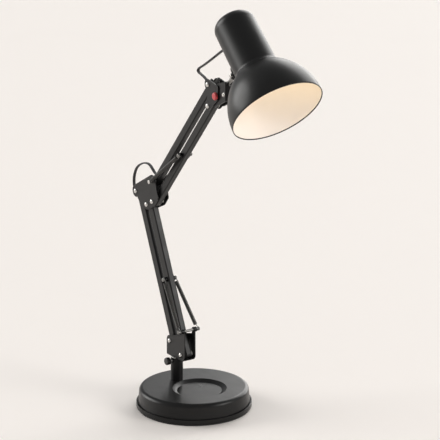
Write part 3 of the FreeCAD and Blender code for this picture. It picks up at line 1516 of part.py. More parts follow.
def springs():
    made = []
    for side, name in ((-1, "near"), (1, "far")):
        made.append(spring(f"lower_spring_{name}", ANCHOR, "anchor_seat", "lower_hook",
                           LOWER_CROSS, "cross_seat", side))
        made.append(spring(f"upper_spring_{name}", TOP_ELBOW, "upper_anchor_seat", "upper_hook",
                           UPPER_CROSS, "cross_seat", side))
    return made


NODES = [
    base_pad(), base_tray(), tray_screws(), base_weight(), base_cover(), base_bolt(),
    post_plug(), post_tube(), post_bush(), thumb_screw(),
    *foot(), *lower_arm(), *elbow(), *upper_arm(), *head(),
    shade(), shade_saddle(), shade_rivets(), lampholder(), holder_plate(), holder_ring(),
    switch_body(), switch_bezel(), switch_button(), *bulb(), neck_gland(), lead_inlet(),
    *leads(), *springs(),
]
document.recompute()

for piece in document.Objects:
    faults = [state for state in piece.State if state in ("Invalid", "Error")]
    assert not faults, f"{piece.Label}: {faults}"
for node in NODES:
    assert not node.Shape.isNull() and node.Shape.isValid(), node.Label

os.makedirs("parts", exist_ok=True)
for node in NODES:
    node.Shape.exportStep(f"parts/{node.Label}.step")
    print(f"{node.Label}: {len(node.Shape.Solids)} solid(s), {node.Shape.Volume:.1f} mm3")
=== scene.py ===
# %% [markdown]
# # A desk lamp with two sprung arms
#
# The lamp stands on a heavy round base. Two arms, each a pair of channel bars, carry a bell shade.
# Every part with a real size already exists as a solid, so this file starts from those solids and
# adds what solids lack: finishes, wound springs, a soft lead, a thin spun shade, and light.

# %% Load the lamp's solids
import math

import bmesh
import bpy
from mathutils import Matrix, Vector


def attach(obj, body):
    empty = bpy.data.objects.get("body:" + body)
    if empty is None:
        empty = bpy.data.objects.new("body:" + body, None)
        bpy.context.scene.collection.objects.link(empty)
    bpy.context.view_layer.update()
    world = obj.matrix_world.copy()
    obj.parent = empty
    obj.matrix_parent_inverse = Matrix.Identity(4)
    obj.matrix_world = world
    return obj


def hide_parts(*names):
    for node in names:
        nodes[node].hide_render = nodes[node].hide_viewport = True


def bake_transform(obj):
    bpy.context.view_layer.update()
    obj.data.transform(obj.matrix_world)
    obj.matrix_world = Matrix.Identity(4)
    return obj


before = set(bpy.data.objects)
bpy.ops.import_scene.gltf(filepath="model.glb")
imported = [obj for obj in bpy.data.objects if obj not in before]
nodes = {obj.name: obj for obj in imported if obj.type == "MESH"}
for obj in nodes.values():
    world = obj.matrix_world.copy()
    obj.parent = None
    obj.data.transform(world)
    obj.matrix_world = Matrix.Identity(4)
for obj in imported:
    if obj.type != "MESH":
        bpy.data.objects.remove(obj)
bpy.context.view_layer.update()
scene = bpy.context.scene

# %% [markdown]
# ## The camera
#
# The photograph was taken from in front, a little to the near side and about a metre up, with a
# long lens. A long lens keeps upright things upright, so the camera stands three metres away and
# its lens is long enough for the lamp to fill the frame. Its direction is written as a turn and a
# dip, because those two angles are what a photographer would set.

# %% Place the camera
CAMERA_PLACE = Vector((2.4275, -1.5460, 1.0793))
CAMERA_TURN = math.radians(56.20)
CAMERA_DIP = math.radians(15.451)
SENSOR_WIDTH, LENS_LENGTH, SIGHT_LIMIT = 36, 163.64, 60


def aim(place, turn, dip):
    """A matrix that stands at a place and looks along a turn and a dip below level."""
    right = Vector((math.cos(turn), math.sin(turn), 0))
    ahead = Vector((-math.sin(turn) * math.cos(dip), math.cos(turn) * math.cos(dip), -math.sin(dip)))
    upward = right.cross(ahead)
    turned = Matrix((right, upward, -ahead)).transposed().to_4x4()
    return Matrix.Translation(place) @ turned


camera_lens = bpy.data.cameras.new("camera")
camera_lens.sensor_width = SENSOR_WIDTH
camera_lens.lens = LENS_LENGTH
camera_lens.clip_end = SIGHT_LIMIT
camera = bpy.data.objects.new("camera", camera_lens)
scene.collection.objects.link(camera)
camera.matrix_world = aim(CAMERA_PLACE, CAMERA_TURN, CAMERA_DIP)
scene.camera = camera
print("camera is", round(CAMERA_PLACE.length, 2), "m from the post")

# %% [markdown]
# ## Floor and light
#
# Satin black paint has almost no colour of its own. What the eye sees on it is the reflection of
# its surroundings, so the light decides the look. Three soft suns light the lamp. A sun has no
# place, only a direction, so it lights the near and the far floor alike, and its width makes its
# shadow soft. The strongest stands where the window is, on the left. The widest stands behind on
# the right and draws the bright line along the shade. The weakest stands in front on the right and
# lifts the sides that face it. The world adds a plain grey light from all round. Together they
# come to about the level at which a colour looks as it is written.

# %% Floor, world and lamps
scene.view_settings.view_transform = "Standard"
FLOOR_HALF_WIDTH, SUN_DISTANCE = 30, 3
WORLD_COLOUR, WORLD_STRENGTH = (0.38, 0.38, 0.38, 1), 1.0
# Each sun: name, turn round the post, height above level, width, strength and colour.
SUNS = [
    ("window_light", -141, 13, 46, 2.6, (1.0, 0.99, 0.97)),
    ("back_light", 119, 20, 50, 2.0, (1.0, 0.99, 0.97)),
    ("side_light", 34, 22, 26, 1.1, (1.0, 0.98, 0.95))]


def stand_floor(half_width):
    """One flat square under the lamp."""
    mesh = bpy.data.meshes.new("floor")
    corners = [(-half_width, -half_width, 0), (half_width, -half_width, 0),
               (half_width, half_width, 0), (-half_width, half_width, 0)]
    mesh.from_pydata(corners, [], [(0, 1, 2, 3)])
    floor = bpy.data.objects.new("floor", mesh)
    scene.collection.objects.link(floor)
    return floor


def hang_sun(name, turn, height, width, strength, colour):
    """A soft sun that shines from a turn and a height. These and its width are in degrees."""
    light = bpy.data.lights.new(name, "SUN")
    light.angle = math.radians(width)
    light.energy = strength
    light.color = colour
    hung = bpy.data.objects.new(name, light)
    scene.collection.objects.link(hung)
    turn, height = math.radians(turn), math.radians(height)
    level = math.cos(height)
    towards = Vector((math.cos(turn) * level, math.sin(turn) * level, math.sin(height)))
    hung.location = SUN_DISTANCE * towards
    hung.rotation_mode = "QUATERNION"
    hung.rotation_quaternion = towards.to_track_quat("Z", "Y")


floor = stand_floor(FLOOR_HALF_WIDTH)
for sun in SUNS:
    hang_sun(*sun)
world = bpy.data.worlds.new("studio")
scene.world = world
world.use_nodes = True
surroundings = world.node_tree.nodes["Background"]
surroundings.inputs["Color"].default_value = WORLD_COLOUR
surroundings.inputs["Strength"].default_value = WORLD_STRENGTH

# %% [markdown]
# ## Three small effects that every finish shares
#
# A real finish is never perfectly even. Its gloss drifts a little, its skin has a fine grain, and
# hands and cloths leave faint marks. Each of the three effects is one node group with named
# inputs. A material places the groups it needs and gives each its own values, so one repair in a
# group mends every finish. A Mix node calls its number and its colour sockets by the same names, so
# the colour ones are reached by their place in the list.

# %% Helpers for node trees
NUMBER, COLOUR, VECTOR = "NodeSocketFloat", "NodeSocketColor", "NodeSocketVector"
FIRST_COLOUR, SECOND_COLOUR, MIXED_COLOUR = 6, 7, 2


def new_effect(name, inputs, outputs):
    """An empty shader node group with its sockets, and its input and output nodes."""
    group = bpy.data.node_groups.new(name, "ShaderNodeTree")
    for label, kind, value in inputs:
        socket = group.interface.new_socket(label, in_out="INPUT", socket_type=kind)
        if value is not None:
            socket.default_value = value
    for label, kind in outputs:
        group.interface.new_socket(label, in_out="OUTPUT", socket_type=kind)
    return group, group.nodes.new("NodeGroupInput"), group.nodes.new("NodeGroupOutput")


def add_node(tree, kind, settings=(), **inputs):
    """A node with some settings and some plain input values."""
    node = tree.nodes.new(kind)
    for label, value in dict(settings).items():
        setattr(node, label, value)
    for label, value in inputs.items():
        node.inputs[label.replace("_", " ")].default_value = value
    return node


# %% Uneven gloss: roughness that drifts between two values
uneven_gloss, gloss_in, gloss_out = new_effect(
    "uneven_gloss",
    [("Vector", VECTOR, None), ("Scale", NUMBER, 30), ("Low", NUMBER, 0.3), ("High", NUMBER, 0.4)],
    [("Roughness", NUMBER)])
drift = add_node(uneven_gloss, "ShaderNodeTexNoise", Detail=4, Roughness=0.6)
spread = add_node(uneven_gloss, "ShaderNodeMapRange", From_Min=0.3, From_Max=0.7)
uneven_gloss.links.new(gloss_in.outputs["Vector"], drift.inputs["Vector"])
uneven_gloss.links.new(gloss_in.outputs["Scale"], drift.inputs["Scale"])
uneven_gloss.links.new(drift.outputs["Fac"], spread.inputs["Value"])
uneven_gloss.links.new(gloss_in.outputs["Low"], spread.inputs["To Min"])
uneven_gloss.links.new(gloss_in.outputs["High"], spread.inputs["To Max"])
uneven_gloss.links.new(spread.outputs["Result"], gloss_out.inputs["Roughness"])

# %% Skin grain: a height from two sizes of soft bumps
COARSE_SCALE = 0.22
skin_grain, grain_in, grain_out = new_effect(
    "skin_grain", [("Vector", VECTOR, None), ("Scale", NUMBER, 900), ("Coarse Share", NUMBER, 0.4)],
    [("Height", NUMBER)])
fine = add_node(skin_grain, "ShaderNodeTexNoise", Detail=2, Roughness=0.5)
coarse = add_node(skin_grain, "ShaderNodeTexNoise", Detail=1, Roughness=0.4)
wider = add_node(skin_grain, "ShaderNodeMath", {"operation": "MULTIPLY"})
wider.inputs[1].default_value = COARSE_SCALE
both = add_node(skin_grain, "ShaderNodeMix")
skin_grain.links.new(grain_in.outputs["Vector"], fine.inputs["Vector"])
skin_grain.links.new(grain_in.outputs["Vector"], coarse.inputs["Vector"])
skin_grain.links.new(grain_in.outputs["Scale"], fine.inputs["Scale"])
skin_grain.links.new(grain_in.outputs["Scale"], wider.inputs[0])
skin_grain.links.new(wider.outputs["Value"], coarse.inputs["Scale"])
skin_grain.links.new(grain_in.outputs["Coarse Share"], both.inputs["Factor"])
skin_grain.links.new(fine.outputs["Fac"], both.inputs["A"])
skin_grain.links.new(coarse.outputs["Fac"], both.inputs["B"])
skin_grain.links.new(both.outputs["Result"], grain_out.inputs["Height"])

# %% Handling marks: a colour with faint, broken patches of another
handling_marks, marks_in, marks_out = new_effect(
    "handling_marks",
    [("Vector", VECTOR, None), ("Scale", NUMBER, 40), ("Colour", COLOUR, (0.5, 0.5, 0.5, 1)),
     ("Marked Colour", COLOUR, (0.6, 0.6, 0.6, 1)), ("Amount", NUMBER, 0.3)],
    [("Colour", COLOUR)])
patches = add_node(handling_marks, "ShaderNodeTexNoise", Detail=6, Roughness=0.65)
edge = add_node(handling_marks, "ShaderNodeMapRange", From_Min=0.5, From_Max=0.75, To_Min=0, To_Max=1)
strength = add_node(handling_marks, "ShaderNodeMath", {"operation": "MULTIPLY"})
stain = add_node(handling_marks, "ShaderNodeMix", {"data_type": "RGBA"})
handling_marks.links.new(marks_in.outputs["Vector"], patches.inputs["Vector"])
handling_marks.links.new(marks_in.outputs["Scale"], patches.inputs["Scale"])
handling_marks.links.new(patches.outputs["Fac"], edge.inputs["Value"])
handling_marks.links.new(edge.outputs["Result"], strength.inputs[0])
handling_marks.links.new(marks_in.outputs["Amount"], strength.inputs[1])
handling_marks.links.new(strength.outputs["Value"], stain.inputs["Factor"])
handling_marks.links.new(marks_in.outputs["Colour"], stain.inputs[FIRST_COLOUR])
handling_marks.links.new(marks_in.outputs["Marked Colour"], stain.inputs[SECOND_COLOUR])
handling_marks.links.new(stain.outputs[MIXED_COLOUR], marks_out.inputs["Colour"])
print("effects:", uneven_gloss.name, skin_grain.name, handling_marks.name)

# %% [markdown]
# ## A finish from the three effects
#
# Each finish starts the same way: the object's own coordinates feed the three groups, and the
# groups feed colour, roughness and a bump. The constants, such as how metallic it is, sit straight
# on the shader. Special finishes then lay one more colour over a part of the surface, where the
# mask of an effect says.

# %% Build a finish
finishes = {}


def new_finish(name, colour, marked, amount, gloss, grain, bump, marks_scale, **constants):
    """A material with drifting gloss, a fine grain and faint marks. The bump is in metres."""
    material = bpy.data.materials.new(name)
    material.use_nodes = True
    tree = material.node_tree
    shader = tree.nodes["Principled BSDF"]
    place = tree.nodes.new("ShaderNodeTexCoord")
    used = {}
    for group in (uneven_gloss, skin_grain, handling_marks):
        used[group.name] = tree.nodes.new("ShaderNodeGroup")
        used[group.name].node_tree = group
        tree.links.new(place.outputs["Object"], used[group.name].inputs["Vector"])
    used["uneven_gloss"].inputs["Low"].default_value = gloss[0]
    used["uneven_gloss"].inputs["High"].default_value = gloss[1]
    used["skin_grain"].inputs["Scale"].default_value = grain
    used["handling_marks"].inputs["Scale"].default_value = marks_scale
    used["handling_marks"].inputs["Colour"].default_value = (*colour, 1)
    used["handling_marks"].inputs["Marked Colour"].default_value = (*marked, 1)
    used["handling_marks"].inputs["Amount"].default_value = amount
    relief = add_node(tree, "ShaderNodeBump", Strength=1.0, Distance=bump)
    tree.links.new(used["skin_grain"].outputs["Height"], relief.inputs["Height"])
    tree.links.new(relief.outputs["Normal"], shader.inputs["Normal"])
    tree.links.new(used["uneven_gloss"].outputs["Roughness"], shader.inputs["Roughness"])
    tree.links.new(used["handling_marks"].outputs["Colour"], shader.inputs["Base Color"])
    for label, value in constants.items():
        shader.inputs[label.replace("_", " ")].default_value = value
    finishes[name] = material
    return material


def colour_where(material, effect, colour, **limits):
    """Lays a colour over a finish where an effect's mask is, and returns the mask's node."""
    tree = material.node_tree
    kinds = {node.bl_idname: node for node in tree.nodes}
    shader, place = kinds["ShaderNodeBsdfPrincipled"], kinds["ShaderNodeTexCoord"]
    plain = shader.inputs["Base Color"].links[0].from_socket
    mask = tree.nodes.new("ShaderNodeGroup")
    mask.node_tree = effect
    for label, value in limits.items():
        mask.inputs[label].default_value = value
    laid = add_node(tree, "ShaderNodeMix", {"data_type": "RGBA"})
    laid.inputs[SECOND_COLOUR].default_value = (*colour, 1)
    tree.links.new(place.outputs["Object"], mask.inputs["Vector"])
    tree.links.new(mask.outputs["Mask"], laid.inputs["Factor"])
    tree.links.new(plain, laid.inputs[FIRST_COLOUR])
    tree.links.new(laid.outputs[MIXED_COLOUR], shader.inputs["Base Color"])
    return mask


# %% [markdown]
# ## Black paint
#
# The sheet parts are powder coated: a satin black with a very fine orange peel. Pure black would
# look like a hole, so the colour stays a little above it, and most of the picture comes from the
# gloss. The base is handled and wiped, so it gets slightly more marks than the arms.

# %% The painted finishes
BLACK, WORN_BLACK, PAINT_IOR = (0.0065, 0.0065, 0.0065), (0.012, 0.012, 0.012), 1.35
# Each row: name, colours, amount of marks, gloss from and to, grain, bump and scale of the marks.
PAINTS = [
    ("arm_paint", BLACK, WORN_BLACK, 0.3, (0.3, 0.4), 1600, 0.00002, 40),
    ("base_paint", BLACK, WORN_BLACK, 0.4, (0.27, 0.37), 1300, 0.00003, 25),
    ("shade_paint", BLACK, WORN_BLACK, 0.25, (0.31, 0.4), 1500, 0.00002, 18)]
for paint in PAINTS:
    new_finish(*paint, IOR=PAINT_IOR)
print("painted finishes:", len(finishes))

# %% [markdown]
# ## Bright metal, plastic and rubber
#
# The bolts and nuts are zinc plated, which is a soft bright metal with cloudy patches. The stem is
# duller steel. The springs are drawn wire with an oiled, darker skin; their hooks are painted
# lighter, a painted highlight. Moulded plastic has a fine grain from its mould, and rubber is dull
# with almost no gloss.

# %% Metal, plastic and rubber finishes
ZINC, CLOUDY_ZINC = (0.6, 0.59, 0.57), (0.42, 0.42, 0.41)
PLASTIC, WORN_PLASTIC = (0.018, 0.018, 0.018), (0.03, 0.03, 0.03)
# Each row: as for the paints, and last how metallic it is.
METALS_AND_MORE = [
    ("zinc_plate", ZINC, CLOUDY_ZINC, 0.6, (0.14, 0.26), 2600, 0.00001, 260, 1.0),
    ("spring_wire", (0.1, 0.098, 0.095), (0.05, 0.048, 0.045), 0.7, (0.3, 0.42), 3000, 0.00001, 300, 1.0),
    # The hooks are the same wire as the coil; their lighter, glossier colour is a painted highlight.
    ("hook_wire", (0.3, 0.3, 0.29), (0.22, 0.22, 0.215), 0.5, (0.2, 0.3), 3000, 0.00001, 300, 1.0),
    ("stem_steel", (0.28, 0.275, 0.265), (0.2, 0.2, 0.195), 0.5, (0.24, 0.36), 2600, 0.00001, 260, 1.0),
    ("cast_iron", (0.11, 0.11, 0.115), (0.16, 0.12, 0.1), 0.5, (0.55, 0.75), 500, 0.0002, 60, 0.8),
    ("bulb_cap_metal", (0.72, 0.72, 0.7), (0.6, 0.6, 0.58), 0.4, (0.25, 0.35), 1800, 0.00002, 200, 1.0),
    ("moulded_black", PLASTIC, WORN_PLASTIC, 0.3, (0.42, 0.55), 2200, 0.00004, 40, 0.0),
    ("nylon", (0.74, 0.73, 0.69), (0.66, 0.64, 0.58), 0.4, (0.4, 0.5), 1500, 0.00002, 120, 0.0),
    ("red_cap", (0.52, 0.055, 0.06), (0.42, 0.045, 0.05), 0.4, (0.3, 0.4), 1400, 0.00001, 150, 0.0),
    ("rubber_pad", (0.03, 0.03, 0.03), (0.055, 0.053, 0.05), 0.6, (0.75, 0.9), 900, 0.0001, 60, 0.0),
    ("cord_cover", (0.02, 0.02, 0.021), (0.035, 0.035, 0.035), 0.4, (0.45, 0.6), 1400, 0.00003, 90, 0.0)]
for *plain, metallic in METALS_AND_MORE:
    new_finish(*plain, Metallic=metallic)
print("finishes:", len(finishes))

# %% [markdown]
# ## Rods with black rings, and the thumb screw
#
# The cross rods and the anchor rod carry a blackened ring on each side. A ring and its rod are one
# solid, so one finish has to show both. Every rod lies across the lamp, which makes the distance
# from the middle plane enough to tell ring from rod. The thumb screw lies across the lamp as well:
# its plastic grip is moulded on a steel screw, and the same mask parts steel from plastic.

# %% Band across: a mask between two distances from the middle plane
band_across, band_in, band_out = new_effect(
    "band_across",
    [("Vector", VECTOR, None), ("Start", NUMBER, 0.005), ("Stop", NUMBER, 0.008)],
    [("Mask", NUMBER)])
parted = band_across.nodes.new("ShaderNodeSeparateXYZ")
distance = add_node(band_across, "ShaderNodeMath", {"operation": "ABSOLUTE"})
after = add_node(band_across, "ShaderNodeMath", {"operation": "GREATER_THAN"})
before = add_node(band_across, "ShaderNodeMath", {"operation": "LESS_THAN"})
within = add_node(band_across, "ShaderNodeMath", {"operation": "MULTIPLY"})
band_across.links.new(band_in.outputs["Vector"], parted.inputs["Vector"])
band_across.links.new(parted.outputs["Y"], distance.inputs[0])
band_across.links.new(distance.outputs["Value"], after.inputs[0])
band_across.links.new(band_in.outputs["Start"], after.inputs[1])
band_across.links.new(distance.outputs["Value"], before.inputs[0])
band_across.links.new(band_in.outputs["Stop"], before.inputs[1])
band_across.links.new(after.outputs["Value"], within.inputs[0])
band_across.links.new(before.outputs["Value"], within.inputs[1])
band_across.links.new(within.outputs["Value"], band_out.inputs["Mask"])

# %% The ringed finishes
DULL_STEEL, DARK_STEEL = (0.2, 0.197, 0.19), (0.14, 0.14, 0.135)
BLACKENED = (0.02, 0.02, 0.02)
# Each row: name, and where its band starts and stops.
RINGS = [("ringed_cross", 0.005, 0.0081), ("ringed_anchor", 0.01, 0.01335)]
for name, start, stop in RINGS:
    rod = new_finish(name, DULL_STEEL, DARK_STEEL, 0.6, (0.24, 0.36), 2600, 0.00001, 260, Metallic=1.0)
    colour_where(rod, band_across, BLACKENED, Start=start, Stop=stop)
print("ringed finishes:", [name for name in finishes if name.startswith("ringed")])

# %% The thumb screw: a steel screw that ends in a moulded grip
GRIP_START = 0.013
screw = new_finish("thumb_screw", PLASTIC, WORN_PLASTIC, 0.3, (0.32, 0.45), 2200, 0.00004, 40)
steel = colour_where(screw, band_across, ZINC, Start=-GRIP_START, Stop=GRIP_START)
screw_shader = screw.node_tree.nodes["Principled BSDF"]
screw.node_tree.links.new(steel.outputs["Mask"], screw_shader.inputs["Metallic"])
print("finishes:", len(finishes))

# %% [markdown]
# ## White enamel and the bulb
#
# The shade is white inside so that it throws the light forward. Its enamel is painted a warmer
# yellow on its upper side and stays whiter on its lower side: a painted glow of the bulb's warm
# light. A slow mix that follows the height lays that painted glow. The bulb's glass is frosted
# inside, so it scatters what passes through it, and it glows with a small warm light of its own.

# %% Height drift: a mask that rises between two heights
height_drift, drift_in, drift_out = new_effect(
    "height_drift",
    [("Vector", VECTOR, None), ("Bottom", NUMBER, 0.44), ("Top", NUMBER, 0.56)],
    [("Mask", NUMBER)])
levels = height_drift.nodes.new("ShaderNodeSeparateXYZ")
rising = add_node(height_drift, "ShaderNodeMapRange", {"interpolation_type": "SMOOTHSTEP"})
height_drift.links.new(drift_in.outputs["Vector"], levels.inputs["Vector"])
height_drift.links.new(levels.outputs["Z"], rising.inputs["Value"])
height_drift.links.new(drift_in.outputs["Bottom"], rising.inputs["From Min"])
height_drift.links.new(drift_in.outputs["Top"], rising.inputs["From Max"])
height_drift.links.new(rising.outputs["Result"], drift_out.inputs["Mask"])

# %% Inside of the shade, and glass
WHITE, OLD_WHITE, PAINTED_WARM_LIGHT = (0.9, 0.875, 0.88), (0.88, 0.85, 0.84), (0.93, 0.83, 0.67)
GLOW_COLOUR, GLOW_STRENGTH = (1.0, 0.88, 0.73, 1), 1.7
enamel = new_finish("white_enamel", WHITE, OLD_WHITE, 0.3, (0.35, 0.45), 1200, 0.00002, 30)
# The enamel is painted warmer towards its upper side: a painted glow of the bulb's warm light, not a
# colour of the enamel.
colour_where(enamel, height_drift, PAINTED_WARM_LIGHT, Bottom=0.45, Top=0.54)
frosted = new_finish("frosted_glass", (0.96, 0.95, 0.92), (0.92, 0.9, 0.86), 0.4, (0.35, 0.45),
                     1500, 0.00001, 60, Transmission_Weight=0.55, IOR=1.45)
lit = frosted.node_tree.nodes["Principled BSDF"]
lit.inputs["Emission Color"].default_value = GLOW_COLOUR
lit.inputs["Emission Strength"].default_value = GLOW_STRENGTH
print("finishes:", len(finishes))

# %% [markdown]
# ## Dress the solids
#
# Every solid keeps its shape and gets the finish of the real piece. The list goes by finish,
# because that is how a maker sorts parts for the paint shop and the plating shop.

# %% Give each solid its finish
WEARS = {
    "arm_paint": ["post_tube", "foot_bracket", "lower_bar_rear", "lower_bar_front", "elbow_plate_near",
                  "elbow_plate_far", "upper_bar_top", "upper_bar_bottom", "head_plate_near",
                  "head_plate_far", "head_yoke", "stem_collar"],
    "base_paint": ["base_tray", "base_cover"],
    "shade_paint": ["shade", "shade_saddle"],
    "zinc_plate": ["tray_screws", "base_bolt", "post_plug", "swivel_pin", "foot_bolts", "elbow_bolts",
                   "upper_anchor_rod", "head_bolts", "stem_fasteners", "shade_rivets",
                   "holder_plate", "switch_bezel"],
    "stem_steel": ["shade_stem"],
    "ringed_cross": ["lower_cross_bolt", "upper_cross_bolt"],
    "ringed_anchor": ["anchor_rod"],
    "thumb_screw": ["thumb_screw"],
    "moulded_black": ["lampholder", "holder_ring", "switch_body", "switch_button"],
    "nylon": ["post_bush", "foot_sleeves", "elbow_sleeves", "head_sleeves", "tilt_sleeve"],
    "red_cap": ["tilt_cap"],
    "cast_iron": ["base_weight"],
    "rubber_pad": ["base_pad"],
    "cord_cover": ["lead_inlet", "neck_gland", "lead_lower", "lead_elbow_lower", "lead_elbow_upper",
                   "lead_upper", "lead_head_lower", "lead_head_middle", "lead_head_upper"],
    "bulb_cap_metal": ["bulb_base"],
    "frosted_glass": ["bulb_glass"],
    "spring_wire": ["lower_spring_near", "lower_spring_far", "upper_spring_near", "upper_spring_far"],
}


def dress(node_name, finish_name):
    """Puts one finish on every material slot of a solid."""
    for slot in nodes[node_name].material_slots:
        slot.material = finishes[finish_name]


for finish_name, members in WEARS.items():
    for member in members:
        dress(member, finish_name)
undressed = set(nodes) - {member for members in WEARS.values() for member in members}
print("solids without a finish:", sorted(undressed))

# %% [markdown]
# ## Helpers for new pieces
#
# A Geometry Nodes tree is run on an empty mesh, read back as a plain mesh, and then its object
# goes. Doing it this way leaves a simple piece that can ride on the lamp's moving bodies.

# %% Start and end a tree of Geometry Nodes
def new_grower(name, inputs):
    """An empty Geometry Nodes tree with named inputs."""
    tree = bpy.data.node_groups.new(name, "GeometryNodeTree")
    tree.interface.new_socket("Geometry", in_out="INPUT", socket_type="NodeSocketGeometry")
    for label, kind, value in inputs:
        socket = tree.interface.new_socket(label, in_out="INPUT", socket_type=kind)
        if value is not None:
            socket.default_value = value
    tree.interface.new_socket("Geometry", in_out="OUTPUT", socket_type="NodeSocketGeometry")
    return tree, tree.nodes.new("NodeGroupInput"), tree.nodes.new("NodeGroupOutput")


def close_grower(tree, last_socket, entry, leave):
    """Ends a tree the way the export needs it: real geometry, smooth, with its material."""
    smooth = tree.nodes.new("GeometryNodeSetShadeSmooth")
    real = tree.nodes.new("GeometryNodeRealizeInstances")
    painted = tree.nodes.new("GeometryNodeSetMaterial")
    tree.links.new(last_socket, smooth.inputs["Geometry"])
    tree.links.new(smooth.outputs["Geometry"], real.inputs["Geometry"])
    tree.links.new(real.outputs["Geometry"], painted.inputs["Geometry"])
    tree.links.new(entry.outputs["Material"], painted.inputs["Material"])
    tree.links.new(painted.outputs["Geometry"], leave.inputs["Geometry"])


# %% Run a tree, join meshes and add a piece
def grow(tree, **values):
    """Runs a tree with some input values and returns the plain mesh."""
    seed = bpy.data.objects.new("seed", bpy.data.meshes.new("seed"))
    scene.collection.objects.link(seed)
    modifier = seed.modifiers.new(tree.name, "NODES")
    modifier.node_group = tree
    for item in tree.interface.items_tree:
        label = item.name.replace(" ", "_").lower()
        if item.in_out == "INPUT" and label in values:
            modifier[item.identifier] = values[label]
    graph = bpy.context.evaluated_depsgraph_get()
    mesh = bpy.data.meshes.new_from_object(seed.evaluated_get(graph), depsgraph=graph)
    bpy.data.objects.remove(seed)
    return mesh


def join_meshes(name, meshes, weld=0.0):
    """One mesh from several, each with its own materials kept, and welded where that is asked."""
    whole = bmesh.new()
    materials = []
    for mesh in meshes:
        first = len(whole.faces)
        whole.from_mesh(mesh)
        whole.faces.ensure_lookup_table()
        for face in whole.faces[first:]:
            material = mesh.materials[face.material_index]
            if material not in materials:
                materials.append(material)
            face.material_index = materials.index(material)
    if weld:
        bmesh.ops.remove_doubles(whole, verts=whole.verts, dist=weld)
        bmesh.ops.recalc_face_normals(whole, faces=whole.faces)
    joined = bpy.data.meshes.new(name)
    whole.to_mesh(joined)
    whole.free()
    for material in materials:
        joined.materials.append(material)
    return joined


def add_piece(name, mesh):
    """A new object at the origin, with its place in its mesh."""
    piece = bpy.data.objects.new(name, mesh)
    scene.collection.objects.link(piece)
    return piece


# %% [markdown]
# ## The spun shade
#
# A metal spinner presses a flat disc over a turning form, so every section through the shade's
# axis is the same. That rule is what Geometry Nodes follow here: one half section is swept round a
# tiny circle on the axis. The outside and the inside are swept apart, so that each gets its own
# finish, and then they are welded at the rim. The black paint folds just over the rim, which
# leaves the thin dark line that rings the white inside.

# %% The shade's half section
MOUTH_RADIUS, BELL_RADIUS = 0.0672, 0.086
THROAT_RADIUS, THROAT_FILLET = 0.031, 0.008
NECK_RADIUS, SHOULDER_RADIUS, CROWN_RADIUS = 0.030, 0.015, 0.060
SHADE_LENGTH, SHADE_WALL, CROWN_HOLE = 0.1623, 0.0012, 0.0056
BELL_STEPS, FILLET_STEPS, SHOULDER_STEPS, CROWN_STEPS = 36, 10, 12, 14


def arc_points(centre, radius, start, stop, count):
    """Points along an arc, both ends included."""
    return [(centre[0] + radius * math.cos(start + (stop - start) * step / count),
             centre[1] + radius * math.sin(start + (stop - start) * step / count))
            for step in range(count + 1)]


def shade_section(inset):
    """Points (radius, height) from the rim to the hole in the crown, at a depth under the skin."""
    bell_x, bell = MOUTH_RADIUS - BELL_RADIUS, BELL_RADIUS - inset
    fillet_x, fillet = THROAT_RADIUS + THROAT_FILLET, THROAT_FILLET + inset
    fillet_z = math.sqrt((bell + fillet) ** 2 - (fillet_x - bell_x) ** 2)
    crown_z, crown = SHADE_LENGTH - CROWN_RADIUS, CROWN_RADIUS - inset
    shoulder_x, shoulder = NECK_RADIUS - SHOULDER_RADIUS, SHOULDER_RADIUS - inset
    shoulder_z = crown_z + math.sqrt((crown - shoulder) ** 2 - shoulder_x ** 2)
    throat = math.atan2(fillet_z, fillet_x - bell_x)
    run = math.hypot(fillet_x - shoulder_x, shoulder_z - fillet_z)
    heading = (math.atan2(shoulder_z - fillet_z, shoulder_x - fillet_x)
               - math.asin((shoulder + fillet) / run))
    outward = heading - math.pi / 2
    edge = math.atan2(shoulder_z - crown_z, shoulder_x)
    hole = math.acos(CROWN_HOLE / crown)
    turned, left = throat + math.pi, outward + math.pi
    return (arc_points((bell_x, 0), bell, 0, throat, BELL_STEPS)
            + arc_points((fillet_x, fillet_z), fillet, turned, left, FILLET_STEPS)
            + arc_points((shoulder_x, shoulder_z), shoulder, outward, edge, SHOULDER_STEPS)
            + arc_points((0, crown_z), crown, edge, hole, CROWN_STEPS))


outer_skin, inner_skin = shade_section(0.0), shade_section(SHADE_WALL)
print("section points:", len(outer_skin), "rim radius:", outer_skin[0][0])

# %% A tree that sweeps a section round an axis
spun_shell, shell_in, shell_out = new_grower("spun_shell", [
    ("Section", "NodeSocketObject", None), ("Axis Radius", NUMBER, 0.001),
    ("Steps", "NodeSocketInt", 128), ("Material", "NodeSocketMaterial", None)])
section_read = spun_shell.nodes.new("GeometryNodeObjectInfo")
section_curve = spun_shell.nodes.new("GeometryNodeMeshToCurve")
ring = spun_shell.nodes.new("GeometryNodeCurvePrimitiveCircle")
swept = spun_shell.nodes.new("GeometryNodeCurveToMesh")
spun_shell.links.new(shell_in.outputs["Section"], section_read.inputs["Object"])
spun_shell.links.new(section_read.outputs["Geometry"], section_curve.inputs["Mesh"])
spun_shell.links.new(shell_in.outputs["Steps"], ring.inputs["Resolution"])
spun_shell.links.new(shell_in.outputs["Axis Radius"], ring.inputs["Radius"])
spun_shell.links.new(ring.outputs["Curve"], swept.inputs["Curve"])
spun_shell.links.new(section_curve.outputs["Curve"], swept.inputs["Profile Curve"])
close_grower(spun_shell, swept.outputs["Mesh"], shell_in, shell_out)

# %% Spin a section into a shell
AXIS_RADIUS, SPIN_STEPS = 0.001, 128
SHADE_MOUTH = Vector((0.2594687, 0, 0.4963265))
SHADE_BACK = Vector((-0.7132505, 0, 0.7009093))


